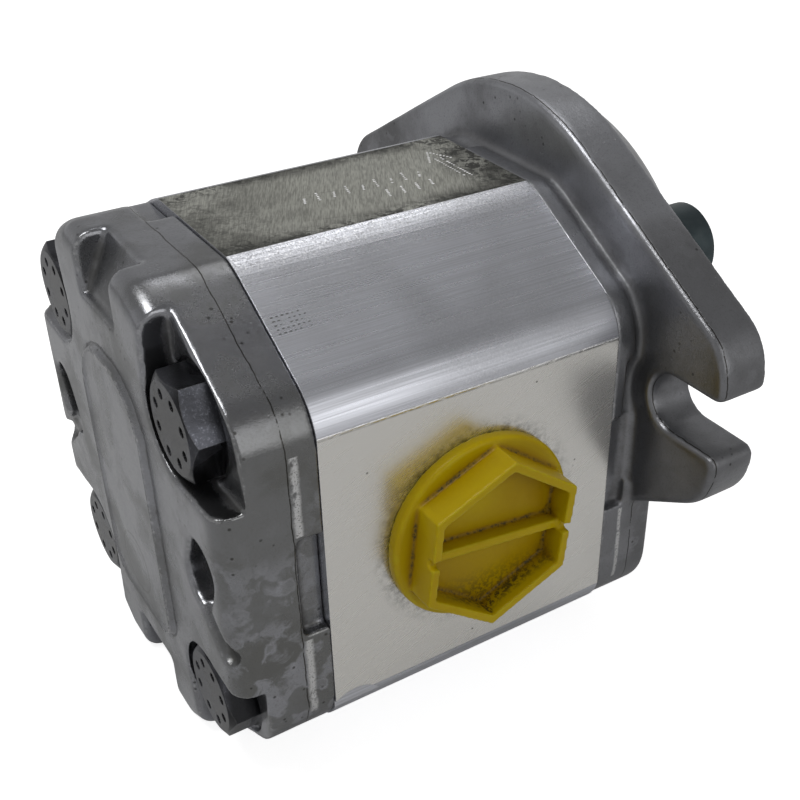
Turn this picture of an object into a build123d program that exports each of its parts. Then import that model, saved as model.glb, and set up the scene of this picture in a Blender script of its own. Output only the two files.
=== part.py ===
from build123d import *
import math
import os

# External gear pump with a two-bolt flange. Millimetres, +X along the shaft towards its
# driven end, +Z up. The origin is on the drive shaft's axis, in the flange's mounting face.

# Gear pair
tooth_count = 12
gear_module = 2.75
working_angle = 28.0
tooth_tip_radius = 19.1
tooth_root_clearance = 0.4
flank_backlash = 0.16
gear_width = 24.0
flank_points = 6
first_tooth_angle = -90.0

# Running clearances
gear_tip_gap = 0.10
gear_side_gap = 0.05
bearing_running_gap = 0.04
seal_running_gap = 0.06
seated_gap = 0.04
block_end_gap = 0.15
bolt_hole_gap = 0.4
thread_gap = 0.05
key_gap = 0.02
cap_thread_gap = 0.3

# Housing, front to back along the shaft
front_cover_depth = 17.0
body_length = 62.2
rear_cover_depth = 19.0

# Housing section, measured from the middle between the two gear axes
body_half_width = 45.0
body_half_height = 49.5
top_flat_half_width = 16.5
slope_fall = 0.553
shoulder_radius = 12.0
top_corner_radius = 20.0
top_mill_depth = 0.6
bottom_corner_radius = 3.0
port_face_mill_depth = 0.3
cover_inset = 0.25
cut_overrun = 1.0

# Mounting flange, measured from the shaft axis
flange_thickness = 10.5
flange_arc_radius = 46.1
flange_line_angle = 60.35
flange_end_radius = 66.4
flange_corner_radius = 11.5
flange_edge_radius = 1.2
slot_pitch = 106.4
slot_width = 11.5
slot_mouth_radius = 2.4
pilot_radius = 41.275
pilot_height = 6.2
pilot_chamfer = 0.8
lower_block_setback = 3.5
lower_block_radius = 2.0
neck_inset = 1.2
neck_length = 2.2
neck_bottom = -22.0
washer_scoop_radius = 11.0
washer_scoop_depth = 3.4

# Joint pockets beside each seam, cast so that the covers can be levered off
pocket_depth = 2.2
pocket_length = 5.0
side_pocket_half_height = 10.5
top_pocket_start = 7.5
top_pocket_width = 14.0

# Cover bolts
bolt_side_margin = 15.5
bolt_top_margin = 20.0
bolt_radius = 5.0
bolt_head_flats = 17.0
bolt_head_height = 6.4
bolt_head_recess = 0.5
bolt_length = 85.0
bolt_dimple_count = 8
bolt_dimple_radius = 0.95
bolt_dimple_depth = 0.5
bolt_face_radius = 8.16
bolt_face_slope = 30.0
bolt_dimple_ring_radius = 5.9
bolt_tip_chamfer = 1.0
bolt_hole_end_room = 1.6
bolt_head_turns = {"upper_left": 12.0, "upper_right": 54.0, "lower_left": 0.0, "lower_right": 4.0}

# Rear cover casting
cover_edge_radius = 4.0
bolt_pocket_corner = 18.3
bolt_pocket_lean = 0.12
bolt_pocket_radius = 11.0
bolt_seat_radius = 10.4
bolt_seat_step = 1.2
panel_half_width = 15.0
panel_half_height = 28.8
panel_top_radius = 12.5
panel_bottom_radius = 6.0
panel_height = 0.7
end_notch_half_width = 8.5
end_notch_inner = 38.0
end_notch_depth = 7.5
end_notch_wall = 1.6
side_dimple_y = 34.5
side_dimple_z = 2.5
side_dimple_width = 10.0
side_dimple_height = 15.5
side_dimple_depth = 5.0
side_dimple_tilt = 25.0
side_groove_length = 13.0
side_groove_width = 4.5
side_groove_depth = 2.2
side_groove_tilt = 40.0

# Shafts
journal_radius = 9.75
shaft_end_radius = 9.525
shaft_reach = 43.5
shaft_chamfer = 1.2
shaft_bore_gap = 0.9
journal_end_gap = 1.0
seal_land_start = 4.0

# Shaft key
key_width = 4.76
key_seat_depth = 2.4
key_length = 25.4
key_start = 14.0

# Bearing blocks and liners
liner_wall = 1.5
relief_length = 9.0
relief_width = 4.2
relief_depth = 1.2

# Static seals
body_seal_inner = 21.3
body_seal_width = 2.0
body_seal_depth = 1.6
balance_seal_inner = 15.8
balance_seal_width = 1.5
balance_seal_depth = 1.6
backup_ring_width = 0.8

# Shaft seal
seal_bore_radius = 17.5
seal_bore_depth = 15.2
seal_thickness = 7.0
seal_case_wall = 1.6
seal_lip_wall = 1.5
seal_lip_setback = 0.3
seal_lip_edge = 1.84
seal_lip_edge_relief = 0.35
seal_lip_root_relief = 0.5
garter_radius = 0.55
garter_place = 1.5
garter_bed_ratio = 0.4
garter_room = 0.9
retaining_ring_thickness = 1.5
retaining_ring_width = 2.6
retaining_ring_bite = 1.1
retaining_ring_gap_angle = 50.0
retaining_eye_radius = 1.0
retaining_eye_angle = 7.0
retaining_eye_inset = 0.4

# Dowels
dowel_radius = 3.0
dowel_length = 12.0
dowel_side_margin = 8.0
dowel_end_room = 0.5
dowel_chamfer = 0.45

# Ports and their transport caps
inlet_thread_radius = 12.75
outlet_thread_radius = 10.2
port_thread_depth = 19.0
port_chamfer = 1.4
port_passage_ratio = 0.72
clamp_mark_radius = 6.2
clamp_mark_depth = 0.7
clamp_mark_rise = 1.2
clamp_mark_place = 4.2
cap_disc_overhang = 6.25
cap_disc_thickness = 2.6
cap_disc_edge = 0.9
cap_hex_ratio = 1.195
cap_head_height = 9.0
cap_head_wall = 1.7
cap_floor = 1.4
cap_web_thickness = 1.9
cap_web_drop = 2.0
cap_notch_depth = 1.7
cap_plug_length = 9.0
cap_plug_wall = 2.2
cap_thread_pitch = 2.1
cap_thread_height = 0.7
cap_thread_root_sink = 0.05
cap_web_sink = 0.2
inlet_cap_turn = 23.0
outlet_cap_turn = -38.0

# Places worked out from the sizes above
centre_distance = gear_module * tooth_count
pitch_radius = centre_distance / 2
tooth_root_radius = centre_distance - tooth_tip_radius - tooth_root_clearance
middle_z = -centre_distance / 2
idler_z = -centre_distance
front_seam_x = -front_cover_depth
rear_seam_x = front_seam_x - body_length
back_x = rear_seam_x - rear_cover_depth
middle_x = (front_seam_x + rear_seam_x) / 2
gear_front_x = middle_x + gear_width / 2
gear_rear_x = middle_x - gear_width / 2
chamber_radius = tooth_tip_radius + gear_tip_gap
block_radius = chamber_radius - seated_gap
block_length = (body_length - gear_width) / 2 - gear_side_gap - block_end_gap
raw_half_width = body_half_width + port_face_mill_depth
bolt_offset_y = body_half_width - bolt_side_margin
bolt_offset_z = body_half_height - bolt_top_margin
dowel_offset_y = body_half_width - dowel_side_margin
head_face_x = back_x + bolt_head_recess
head_seat_x = head_face_x + bolt_head_height
bolt_tip_x = head_seat_x + bolt_length
slot_centre_y = slot_pitch / 2
liner_inner_radius = journal_radius + bearing_running_gap
liner_outer_radius = liner_inner_radius + liner_wall
sides = (1, -1)


def section(x, y=0.0, z=0.0):
    """Plane across the shaft at x, with its first axis along +Y and its second along +Z."""
    return Plane(origin=(x, y, z), x_dir=(0, 1, 0), z_dir=(1, 0, 0))


def prism(sketch, x_start, x_end, y=0.0, z=0.0):
    """Extrudes a section's sketch along X, from one place to the other."""
    return extrude(section(x_start, y, z) * sketch, amount=x_end - x_start)


def rod(radius, x_start, x_end, y=0.0, z=0.0):
    """Cylinder along X."""
    return prism(Circle(radius), x_start, x_end, y, z)


def side_rod(radius, y_start, y_end, x=0.0, z=0.0):
    """Cylinder along Y."""
    low = min(y_start, y_end)
    plane = Plane(origin=(x, low, z), x_dir=(1, 0, 0), z_dir=(0, 1, 0))
    return extrude(plane * Circle(radius), amount=abs(y_end - y_start))


def block(x_range, y_range, z_range):
    """Box between three pairs of limits."""
    spans = [high - low for low, high in (x_range, y_range, z_range)]
    centre = [(low + high) / 2 for low, high in (x_range, y_range, z_range)]
    return Pos(*centre) * Box(*spans)


def housing_sketch(inset=0.0):
    """Eight-sided housing section about its own middle, rounded, with its top milled flat."""
    top = body_half_height - inset
    raw_top = top + top_mill_depth
    side = raw_half_width - inset
    shoulder = top - slope_fall * (side - top_flat_half_width)
    raw_flat = top_flat_half_width - top_mill_depth / slope_fall
    right = [(raw_flat, raw_top), (side, shoulder), (side, -shoulder), (top_flat_half_width, -top)]
    left = [(-y, z) for y, z in reversed(right)]
    outline = make_face(Polyline(*right, *left, close=True))
    shoulders = [v for v in outline.vertices() if abs(v.X) > (top_flat_half_width + side) / 2]
    outline = fillet(shoulders, shoulder_radius)
    outline = fillet(outline.vertices().group_by(Axis.Y)[-1], top_corner_radius)
    outline = fillet(outline.vertices().group_by(Axis.Y)[0], bottom_corner_radius)
    return outline & Rectangle(2 * side, 2 * top)


def two_lobes(radius):
    """Section of two equal discs on the two gear axes, about the drive axis."""
    return Circle(radius) + Pos(0, idler_z) * Circle(radius)


def bolt_places():
    """Bolt axes: name, y and z, in the row's frame."""
    for vertical, z_sign in (("upper", 1), ("lower", -1)):
        for lateral, y_sign in (("left", 1), ("right", -1)):
            place = (y_sign * bolt_offset_y, middle_z + z_sign * bolt_offset_z)
            yield f"{vertical}_{lateral}", y_sign, z_sign, place


# Housing shells


def joint_pockets(seam_x, direction):
    """Lever pockets beside a seam: one on each side, one on top and one underneath."""
    x_range = tuple(sorted((seam_x, seam_x + direction * pocket_length)))
    cuts = []
    for side in sides:
        outer = side * (raw_half_width + cut_overrun)
        inner = side * (body_half_width - pocket_depth)
        z_low = middle_z - side_pocket_half_height
        z_range = (z_low, z_low + 2 * side_pocket_half_height)
        cuts.append(block(x_range, tuple(sorted((outer, inner))), z_range))
        z_outer = middle_z + side * (body_half_height + cut_overrun)
        z_inner = middle_z + side * (body_half_height - pocket_depth)
        y_ends = (side * top_pocket_start, side * (top_pocket_start + top_pocket_width))
        cuts.append(block(x_range, tuple(sorted(y_ends)), tuple(sorted((z_outer, z_inner)))))
    return cuts


def seal_groove(face_x, direction):
    """Two-lobed groove for the seal between a cover and the body."""
    outer = body_seal_inner + body_seal_width + seated_gap
    inner = body_seal_inner - seated_gap
    ring = two_lobes(outer) - two_lobes(inner)
    floor_x = face_x + direction * body_seal_depth
    return prism(ring, min(face_x, floor_x), max(face_x, floor_x))


def dowel_holes(seam_x):
    """Dowel holes that run through a seam into both pieces."""
    reach = dowel_length / 2 + dowel_end_room
    radius = dowel_radius + seated_gap
    return [
        rod(radius, seam_x - reach, seam_x + reach, side * dowel_offset_y, middle_z)
        for side in sides
    ]


def pump_body():
    """Extruded body with the gear chamber, the ports and the bolt holes."""
    shape = prism(housing_sketch(), rear_seam_x, front_seam_x, 0, middle_z)
    mill = block(
        (rear_seam_x, front_seam_x),
        (-body_half_width, body_half_width),
        (middle_z - body_half_height, middle_z + body_half_height),
    )
    shape = shape & mill
    shape -= prism(two_lobes(chamber_radius), rear_seam_x, front_seam_x)
    for _, _, _, (y, z) in bolt_places():
        shape -= rod(bolt_radius + bolt_hole_gap, rear_seam_x, front_seam_x, y, z)
    for seam in (front_seam_x, rear_seam_x):
        shape -= dowel_holes(seam)
    for side, radius in ((-1, inlet_thread_radius), (1, outlet_thread_radius)):
        face_y = side * body_half_width
        floor_y = side * (body_half_width - port_thread_depth)
        shape -= side_rod(radius, face_y, floor_y, middle_x, middle_z)
        shape -= side_rod(radius * port_passage_ratio, floor_y, 0, middle_x, middle_z)
        mouth = Plane(origin=(middle_x, face_y, middle_z), x_dir=(1, 0, 0), z_dir=(0, -side, 0))
        shape -= loft([
            mouth * Circle(radius + port_chamfer),
            mouth.offset(port_chamfer) * Circle(radius),
        ])
    return shape - clamp_mark()


def clamp_mark():
    """Shallow scallop in the inlet port face, at its lower rear corner."""
    turn = math.atan(slope_fall)
    corner = body_half_height - slope_fall * (raw_half_width - top_flat_half_width)
    rounding_start = corner - shoulder_radius * math.tan((math.pi / 2 - turn) / 2)
    into_rounding = port_face_mill_depth * (2 * shoulder_radius - port_face_mill_depth)
    face_edge = rounding_start + math.sqrt(into_rounding)
    z = middle_z - face_edge + clamp_mark_rise - clamp_mark_radius
    floor_y = -body_half_width + clamp_mark_depth
    outer_y = -body_half_width - cut_overrun
    return side_rod(clamp_mark_radius, outer_y, floor_y, rear_seam_x + clamp_mark_place, z)


def bolt_pocket_sketch(y_sign, z_sign):
    """Corner pocket around a bolt head, open to the cover's outside."""
    far = body_half_width + body_half_height
    near = bolt_pocket_corner
    lean = bolt_pocket_lean * (far - near)
    points = [(near, near), (near + lean, far), (far, far), (far, near + lean / 2)]
    outline = make_face(Polyline(*[(y_sign * y, z_sign * z) for y, z in points], close=True))
    corner = outline.vertices().sort_by_distance((y_sign * near, z_sign * near, 0))[0]
    return fillet(corner, bolt_pocket_radius)


def end_notch(z_sign):
    """Sloping notch in the cover's back edge, at the top or the bottom."""
    inner_z = middle_z + z_sign * end_notch_inner
    outer_z = middle_z + z_sign * (body_half_height + cut_overrun)
    start_x = back_x - cut_overrun
    floor_x = back_x + end_notch_depth
    wedge = make_face(Polyline(
        (start_x, inner_z),
        (back_x + end_notch_wall, inner_z),
        (floor_x, outer_z),
        (start_x, outer_z),
        close=True,
    ))
    plane = Plane(origin=(0, -end_notch_half_width, 0), x_dir=(1, 0, 0), z_dir=(0, -1, 0))
    return extrude(plane * wedge, amount=-2 * end_notch_half_width)


def side_dimple(side):
    """Deep casting dimple beside the cover's edge, with a shallow run-out groove."""
    well = SlotOverall(side_dimple_height, side_dimple_width, rotation=90 - side_dimple_tilt * side)
    y = side * side_dimple_y
    z = middle_z + side_dimple_z
    start_x = back_x - cut_overrun
    cut = prism(well, start_x, back_x + side_dimple_depth, y, z)
    run = SlotOverall(side_groove_length, side_groove_width, rotation=-side_groove_tilt * side)
    run_y = y + side * side_groove_width
    run_z = z - side_dimple_height / 2 - side_groove_width / 2
    return [cut, prism(run, start_x, back_x + side_groove_depth, run_y, run_z)]


def panel_sketch():
    """Raised oval panel in the middle of the rear cover."""
    outline = Rectangle(2 * panel_half_width, 2 * panel_half_height)
    upper = outline.vertices().group_by(Axis.Y)[-1]
    outline = fillet(upper, panel_top_radius)
    lower = outline.vertices().group_by(Axis.Y)[0]
    return fillet(lower, panel_bottom_radius)


def rear_cover():
    """Cast rear cover with corner pockets for the bolt heads."""
    outline = housing_sketch(cover_inset)
    shape = prism(outline, back_x, rear_seam_x, 0, middle_z)
    back_edges = shape.faces().sort_by(Axis.X)[0].edges()
    shape = fillet(back_edges, cover_edge_radius)
    for z_sign in sides:
        shape -= end_notch(z_sign)
        shape -= side_dimple(z_sign)
    for _, y_sign, z_sign, (y, z) in bolt_places():
        pocket = bolt_pocket_sketch(y_sign, z_sign)
        pocket_floor_x = head_seat_x - bolt_seat_step
        shape -= prism(pocket, back_x - cut_overrun, pocket_floor_x, 0, middle_z)
        shape -= rod(bolt_seat_radius, back_x + bolt_head_recess, head_seat_x, y, z)
        shape -= rod(bolt_radius + bolt_hole_gap, head_seat_x, rear_seam_x, y, z)
    shape += prism(panel_sketch(), back_x - panel_height, back_x, 0, middle_z)
    shape -= joint_pockets(rear_seam_x, -1)
    shape -= seal_groove(rear_seam_x, -1)
    shape -= dowel_holes(rear_seam_x)
    return shape


def flange_sketch():
    """Two-eared flange outline about the shaft axis, with an open slot in each ear."""
    angle = math.radians(flange_line_angle)
    normal = Vector(math.cos(angle), math.sin(angle))
    along = Vector(math.sin(angle), -math.cos(angle))
    to_centre = flange_arc_radius - flange_corner_radius
    reach = flange_end_radius - flange_corner_radius
    centre = normal * to_centre + along * math.sqrt(reach ** 2 - to_centre ** 2)
    tangent = normal * flange_arc_radius
    corner = centre + normal * flange_corner_radius
    blend = centre.normalized()
    middle = centre + (normal + blend).normalized() * flange_corner_radius
    ear_start = blend * flange_end_radius

    def placed(point, y_sign, z_sign):
        """Point moved to one of the four quarters."""
        return (point.X * y_sign, point.Y * z_sign)

    edges = []
    for y_sign in sides:
        ends = [placed(ear_start, y_sign, z_sign) for z_sign in sides]
        edges.append(ThreePointArc(ends[0], (y_sign * flange_end_radius, 0), ends[1]))
        for z_sign in sides:
            edges.append(Line(placed(tangent, y_sign, z_sign), placed(corner, y_sign, z_sign)))
            edges.append(ThreePointArc(
                placed(corner, y_sign, z_sign),
                placed(middle, y_sign, z_sign),
                placed(ear_start, y_sign, z_sign),
            ))
    for z_sign in sides:
        ends = [placed(tangent, y_sign, z_sign) for y_sign in sides]
        edges.append(ThreePointArc(ends[0], (0, z_sign * flange_arc_radius), ends[1]))
    outline = make_face(Wire.combine(edges)[0])
    for side in sides:
        outline -= Pos(side * slot_centre_y, 0) * Circle(slot_width / 2)
        mouth = flange_end_radius - slot_centre_y + cut_overrun
        outline -= Pos(side * (slot_centre_y + mouth / 2), 0) * Rectangle(mouth, slot_width)
    return outline


def mounting_flange():
    """Cast front cover: mounting plate, pilot, and the block that closes the body."""
    plate = prism(flange_sketch(), -flange_thickness, 0)
    long_edges = plate.edges().filter_by(Axis.X)
    lips = [e for e in long_edges if abs(e.center().Y) > flange_end_radius - slot_width / 2]
    plate = fillet(lips, slot_mouth_radius)
    rear_edges = plate.faces().sort_by(Axis.X)[0].edges()
    plate = fillet(rear_edges, flange_edge_radius)
    outline = housing_sketch(cover_inset)
    core = prism(outline, front_seam_x, -lower_block_setback, 0, middle_z)
    front_edges = core.faces().sort_by(Axis.X)[-1].edges()
    core = fillet(front_edges, lower_block_radius)
    neck_rear = -flange_thickness - neck_length
    neck_top = middle_z + body_half_height + cut_overrun
    wide = raw_half_width + cut_overrun
    ring = block((neck_rear, -flange_thickness), (-wide, wide), (neck_bottom, neck_top))
    ring -= prism(housing_sketch(neck_inset), neck_rear, -flange_thickness, 0, middle_z)
    shape = core - ring
    for side in sides:
        scoop_x = -flange_thickness - washer_scoop_depth
        shape -= rod(washer_scoop_radius, scoop_x, -flange_thickness, side * slot_centre_y)
    shape += plate
    pilot = rod(pilot_radius, -flange_thickness, pilot_height)
    rim = pilot.faces().sort_by(Axis.X)[-1].edges()
    shape += chamfer(rim, pilot_chamfer)
    shape -= rod(journal_radius + shaft_bore_gap, front_seam_x, pilot_height)
    seal_seat_x = pilot_height - seal_bore_depth
    shape -= rod(seal_bore_radius, seal_seat_x, pilot_height)
    ring_x = seal_seat_x + seal_thickness + seated_gap
    ring_radius = seal_bore_radius + retaining_ring_bite
    shape -= rod(ring_radius, ring_x, ring_x + retaining_ring_thickness + 2 * seated_gap)
    for _, _, _, (y, z) in bolt_places():
        shape -= rod(bolt_radius + thread_gap, front_seam_x, bolt_tip_x + bolt_hole_end_room, y, z)
    shape -= joint_pockets(front_seam_x, 1)
    shape -= seal_groove(front_seam_x, 1)
    shape -= dowel_holes(front_seam_x)
    return shape


# Rotating group


def flank_angle(radius):
    """Half of a tooth's angle at a radius, from the involute that both gears share."""
    work = math.radians(working_angle)
    base_radius = pitch_radius * math.cos(work)
    local = math.acos(min(1.0, base_radius / radius))
    half_tooth = (math.pi * gear_module / 2 - flank_backlash) / 2 / pitch_radius
    return half_tooth + (math.tan(work) - work) - (math.tan(local) - local)


def polar(radius, angle):
    """Point at a radius and an angle in radians."""
    return (radius * math.cos(angle), radius * math.sin(angle))


def gear_sketch(start_angle):
    """Spur gear section with involute flanks and radial roots."""
    base_radius = pitch_radius * math.cos(math.radians(working_angle))
    step = (tooth_tip_radius - base_radius) / flank_points
    radii = [base_radius + step * index for index in range(flank_points + 1)]
    pitch = 2 * math.pi / tooth_count
    edges = []
    for tooth in range(tooth_count):
        centre = math.radians(start_angle) + tooth * pitch
        rising = [polar(r, centre - flank_angle(r)) for r in radii]
        falling = [polar(r, centre + flank_angle(r)) for r in reversed(radii)]
        root_in = polar(tooth_root_radius, centre - flank_angle(base_radius))
        root_out = polar(tooth_root_radius, centre + flank_angle(base_radius))
        next_in = polar(tooth_root_radius, centre + pitch - flank_angle(base_radius))
        edges.append(Line(root_in, rising[0]))
        edges.append(Spline(*rising))
        edges.append(ThreePointArc(rising[-1], polar(tooth_tip_radius, centre), falling[0]))
        edges.append(Spline(*falling))
        edges.append(Line(falling[-1], root_out))
        edges.append(ThreePointArc(
            root_out, polar(tooth_root_radius, centre + pitch / 2), next_in,
        ))
    return make_face(Wire.combine(edges)[0])


def shaft_keyway(depth_gap=0.0, width_gap=0.0):
    """Slot in the shaft's underside, which the key fills but for the gaps."""
    half = key_width / 2 + width_gap
    return block(
        (key_start - width_gap, key_start + key_length + width_gap),
        (-half, half),
        (-shaft_end_radius - key_width, -shaft_end_radius + key_seat_depth + depth_gap),
    )


def drive_gear_shaft():
    """Drive shaft, one piece with its gear."""
    rear_x = rear_seam_x + journal_end_gap
    shape = prism(gear_sketch(first_tooth_angle), gear_rear_x, gear_front_x)
    shape += rod(journal_radius, rear_x, front_seam_x + seal_land_start)
    stub = rod(shaft_end_radius, front_seam_x, shaft_reach)
    tip = stub.faces().sort_by(Axis.X)[-1].edges()
    shape += chamfer(tip, shaft_chamfer)
    return shape - shaft_keyway(key_gap, key_gap)


def idler_gear_shaft():
    """Driven gear with a journal at each end."""
    mesh_angle = first_tooth_angle + 180 + 180 / tooth_count
    shape = prism(gear_sketch(mesh_angle), gear_rear_x, gear_front_x, 0, idler_z)
    rear_x = rear_seam_x + journal_end_gap
    front_x = front_seam_x - journal_end_gap
    return shape + rod(journal_radius, rear_x, front_x, 0, idler_z)


def shaft_key():
    """Parallel key in the shaft's underside."""
    half = key_width / 2
    top = -shaft_end_radius + key_seat_depth
    return block((key_start, key_start + key_length), (-half, half), (top - key_width, top))


# Bearings


def bearing_block(direction):
    """Two-lobed block on one side of the gears, grooved for its balance seal."""
    gear_x = middle_x + direction * (gear_width / 2 + gear_side_gap)
    outer_x = gear_x + direction * block_length
    low, high = sorted((gear_x, outer_x))
    shape = prism(two_lobes(block_radius), low, high)
    for axis_z in (0, idler_z):
        shape -= rod(liner_outer_radius + seated_gap, low, high, 0, axis_z)
    groove_outer = balance_seal_inner + balance_seal_width + backup_ring_width
    ring = two_lobes(groove_outer + 2 * seated_gap) - two_lobes(balance_seal_inner - seated_gap)
    floor_x = outer_x - direction * balance_seal_depth
    shape -= prism(ring, min(floor_x, outer_x), max(floor_x, outer_x))
    relief_x = gear_x + direction * relief_depth
    x_range = tuple(sorted((gear_x, relief_x)))
    for side in sides:
        near = side * relief_width / 2
        y_range = tuple(sorted((near, near + side * relief_length)))
        z_range = (middle_z - relief_width / 2, middle_z + relief_width / 2)
        shape -= block(x_range, y_range, z_range)
    return shape


def bearing_liner(direction, axis_z):
    """Plain liner that carries one journal."""
    gear_x = middle_x + direction * (gear_width / 2 + gear_side_gap)
    outer_x = gear_x + direction * block_length
    low, high = sorted((gear_x, outer_x))
    shape = rod(liner_outer_radius, low, high, 0, axis_z)
    return shape - rod(liner_inner_radius, low, high, 0, axis_z)


# Static seals


def body_seal(seam_x, direction):
    """Two-lobed seal in a cover's groove, against the body's end face."""
    ring = two_lobes(body_seal_inner + body_seal_width) - two_lobes(body_seal_inner)
    floor_x = seam_x + direction * (body_seal_depth - seated_gap)
    return prism(ring, min(seam_x, floor_x), max(seam_x, floor_x))


def balance_groove_ends(direction):
    """Floor of a block's seal groove and the cover's face beyond it."""
    outer_x = middle_x + direction * (gear_width / 2 + gear_side_gap + block_length)
    floor_x = outer_x - direction * (balance_seal_depth - seated_gap)
    cover_x = outer_x + direction * (block_end_gap - seated_gap)
    return sorted((floor_x, cover_x))


def balance_seal(direction):
    """Pressure balance seal behind a bearing block."""
    low, high = balance_groove_ends(direction)
    outer = balance_seal_inner + balance_seal_width
    return prism(two_lobes(outer) - two_lobes(balance_seal_inner), low, high)


def backup_ring(direction):
    """Hard ring around the balance seal, which keeps it out of the end gap."""
    low, high = balance_groove_ends(direction)
    inner = balance_seal_inner + balance_seal_width + seated_gap
    return prism(two_lobes(inner + backup_ring_width) - two_lobes(inner), low, high)


# Shaft seal, in the pilot


def turned(points):
    """Solid turned about the shaft axis from points of x and radius."""
    plane = Plane(origin=(0, 0, 0), x_dir=(1, 0, 0), z_dir=(0, -1, 0))
    face = plane * make_face(Polyline(*points, close=True))
    return revolve(face, Axis.X)


def seal_start():
    """Where the shaft seal sits, measured along the shaft."""
    return pilot_height - seal_bore_depth + seated_gap


def shaft_seal_case():
    """Steel case of the shaft seal: a cup with an inward rim."""
    start = seal_start()
    end = start + seal_thickness - seated_gap
    outer = seal_bore_radius - seated_gap
    inner = journal_radius + seal_lip_wall + 2 * garter_radius + garter_room
    return turned([
        (start, outer), (end, outer), (end, inner),
        (end - seal_case_wall, inner), (end - seal_case_wall, outer - seal_case_wall),
        (start, outer - seal_case_wall),
    ])


def lip_radii():
    """Inner and outer radius of the sealing lip."""
    inner = shaft_end_radius + seal_running_gap
    return inner, inner + seal_lip_wall


def shaft_seal_lip():
    """Rubber lip of the shaft seal, with a groove for its spring."""
    start = seal_start() + seal_lip_setback
    end = seal_start() + seal_thickness - seal_case_wall - 2 * seated_gap
    inner, outer = lip_radii()
    case_inner = seal_bore_radius - seal_case_wall - 2 * seated_gap
    shape = turned([
        (start, inner), (start, outer), (end - seal_case_wall, outer),
        (end - seal_case_wall, case_inner), (end, case_inner), (end, inner + seal_lip_root_relief),
        (start + seal_lip_edge, inner + seal_lip_edge_relief),
    ])
    return shape - garter(garter_radius + seated_gap)


def garter(radius):
    """Ring around the lip, of a given section radius."""
    _, outer = lip_radii()
    place = Plane(origin=(seal_start() + garter_place, 0, 0), x_dir=(0, 1, 0), z_dir=(1, 0, 0))
    return place * Torus(outer + garter_radius * garter_bed_ratio, radius)


def seal_retaining_ring():
    """Internal snap ring in front of the shaft seal, open at the bottom."""
    start = pilot_height - seal_bore_depth + seal_thickness + 2 * seated_gap
    end = start + retaining_ring_thickness
    outer = seal_bore_radius + retaining_ring_bite - seated_gap
    inner = outer - retaining_ring_width
    shape = rod(outer, start, end) - rod(inner, start, end)
    half_gap = math.radians(retaining_ring_gap_angle / 2)
    reach = 2 * outer
    wedge = make_face(Polyline(
        (0, 0), (-reach * math.sin(half_gap), -reach * math.cos(half_gap)),
        (reach * math.sin(half_gap), -reach * math.cos(half_gap)), close=True,
    ))
    shape -= prism(wedge, start, end)
    eye_angle = half_gap + math.radians(retaining_eye_angle)
    eye_path = inner + retaining_eye_inset
    for side in sides:
        y = side * eye_path * math.sin(eye_angle)
        z = -eye_path * math.cos(eye_angle)
        shape += rod(2 * retaining_eye_radius, start, end, y, z)
        shape -= rod(retaining_eye_radius, start, end, y, z)
    return shape


# Fasteners


def cover_bolt(y, z, turn):
    """Hexagon bolt from the rear cover into the front cover."""
    hexagon = RegularPolygon(bolt_head_flats / 2, 6, major_radius=False, rotation=turn)
    head = prism(hexagon, head_face_x, head_seat_x, y, z)
    apex = bolt_head_flats / math.sqrt(3)
    rim = bolt_face_radius
    slope = (apex - rim) * math.tan(math.radians(bolt_face_slope))
    cone = prism(Circle(apex), head_face_x + slope, head_seat_x, y, z)
    cone += loft([
        section(head_face_x, y, z) * Circle(rim),
        section(head_face_x + slope, y, z) * Circle(apex),
    ])
    head = head & cone
    for index in range(bolt_dimple_count):
        angle = 2 * math.pi * (index + 0.5) / bolt_dimple_count
        dot_y = y + bolt_dimple_ring_radius * math.cos(angle)
        dot_z = z + bolt_dimple_ring_radius * math.sin(angle)
        head -= rod(bolt_dimple_radius, head_face_x, head_face_x + bolt_dimple_depth, dot_y, dot_z)
    shank = rod(bolt_radius, head_seat_x, bolt_tip_x, y, z)
    end = shank.faces().sort_by(Axis.X)[-1].edges()
    return head + chamfer(end, bolt_tip_chamfer)


def dowel(seam_x, side):
    """Plain dowel that lines a cover up with the body."""
    half = dowel_length / 2
    pin = rod(dowel_radius, seam_x - half, seam_x + half, side * dowel_offset_y, middle_z)
    ends = pin.faces().sort_by(Axis.X)
    return chamfer(ends[0].edges() + ends[-1].edges(), dowel_chamfer)


# Transport caps


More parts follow.
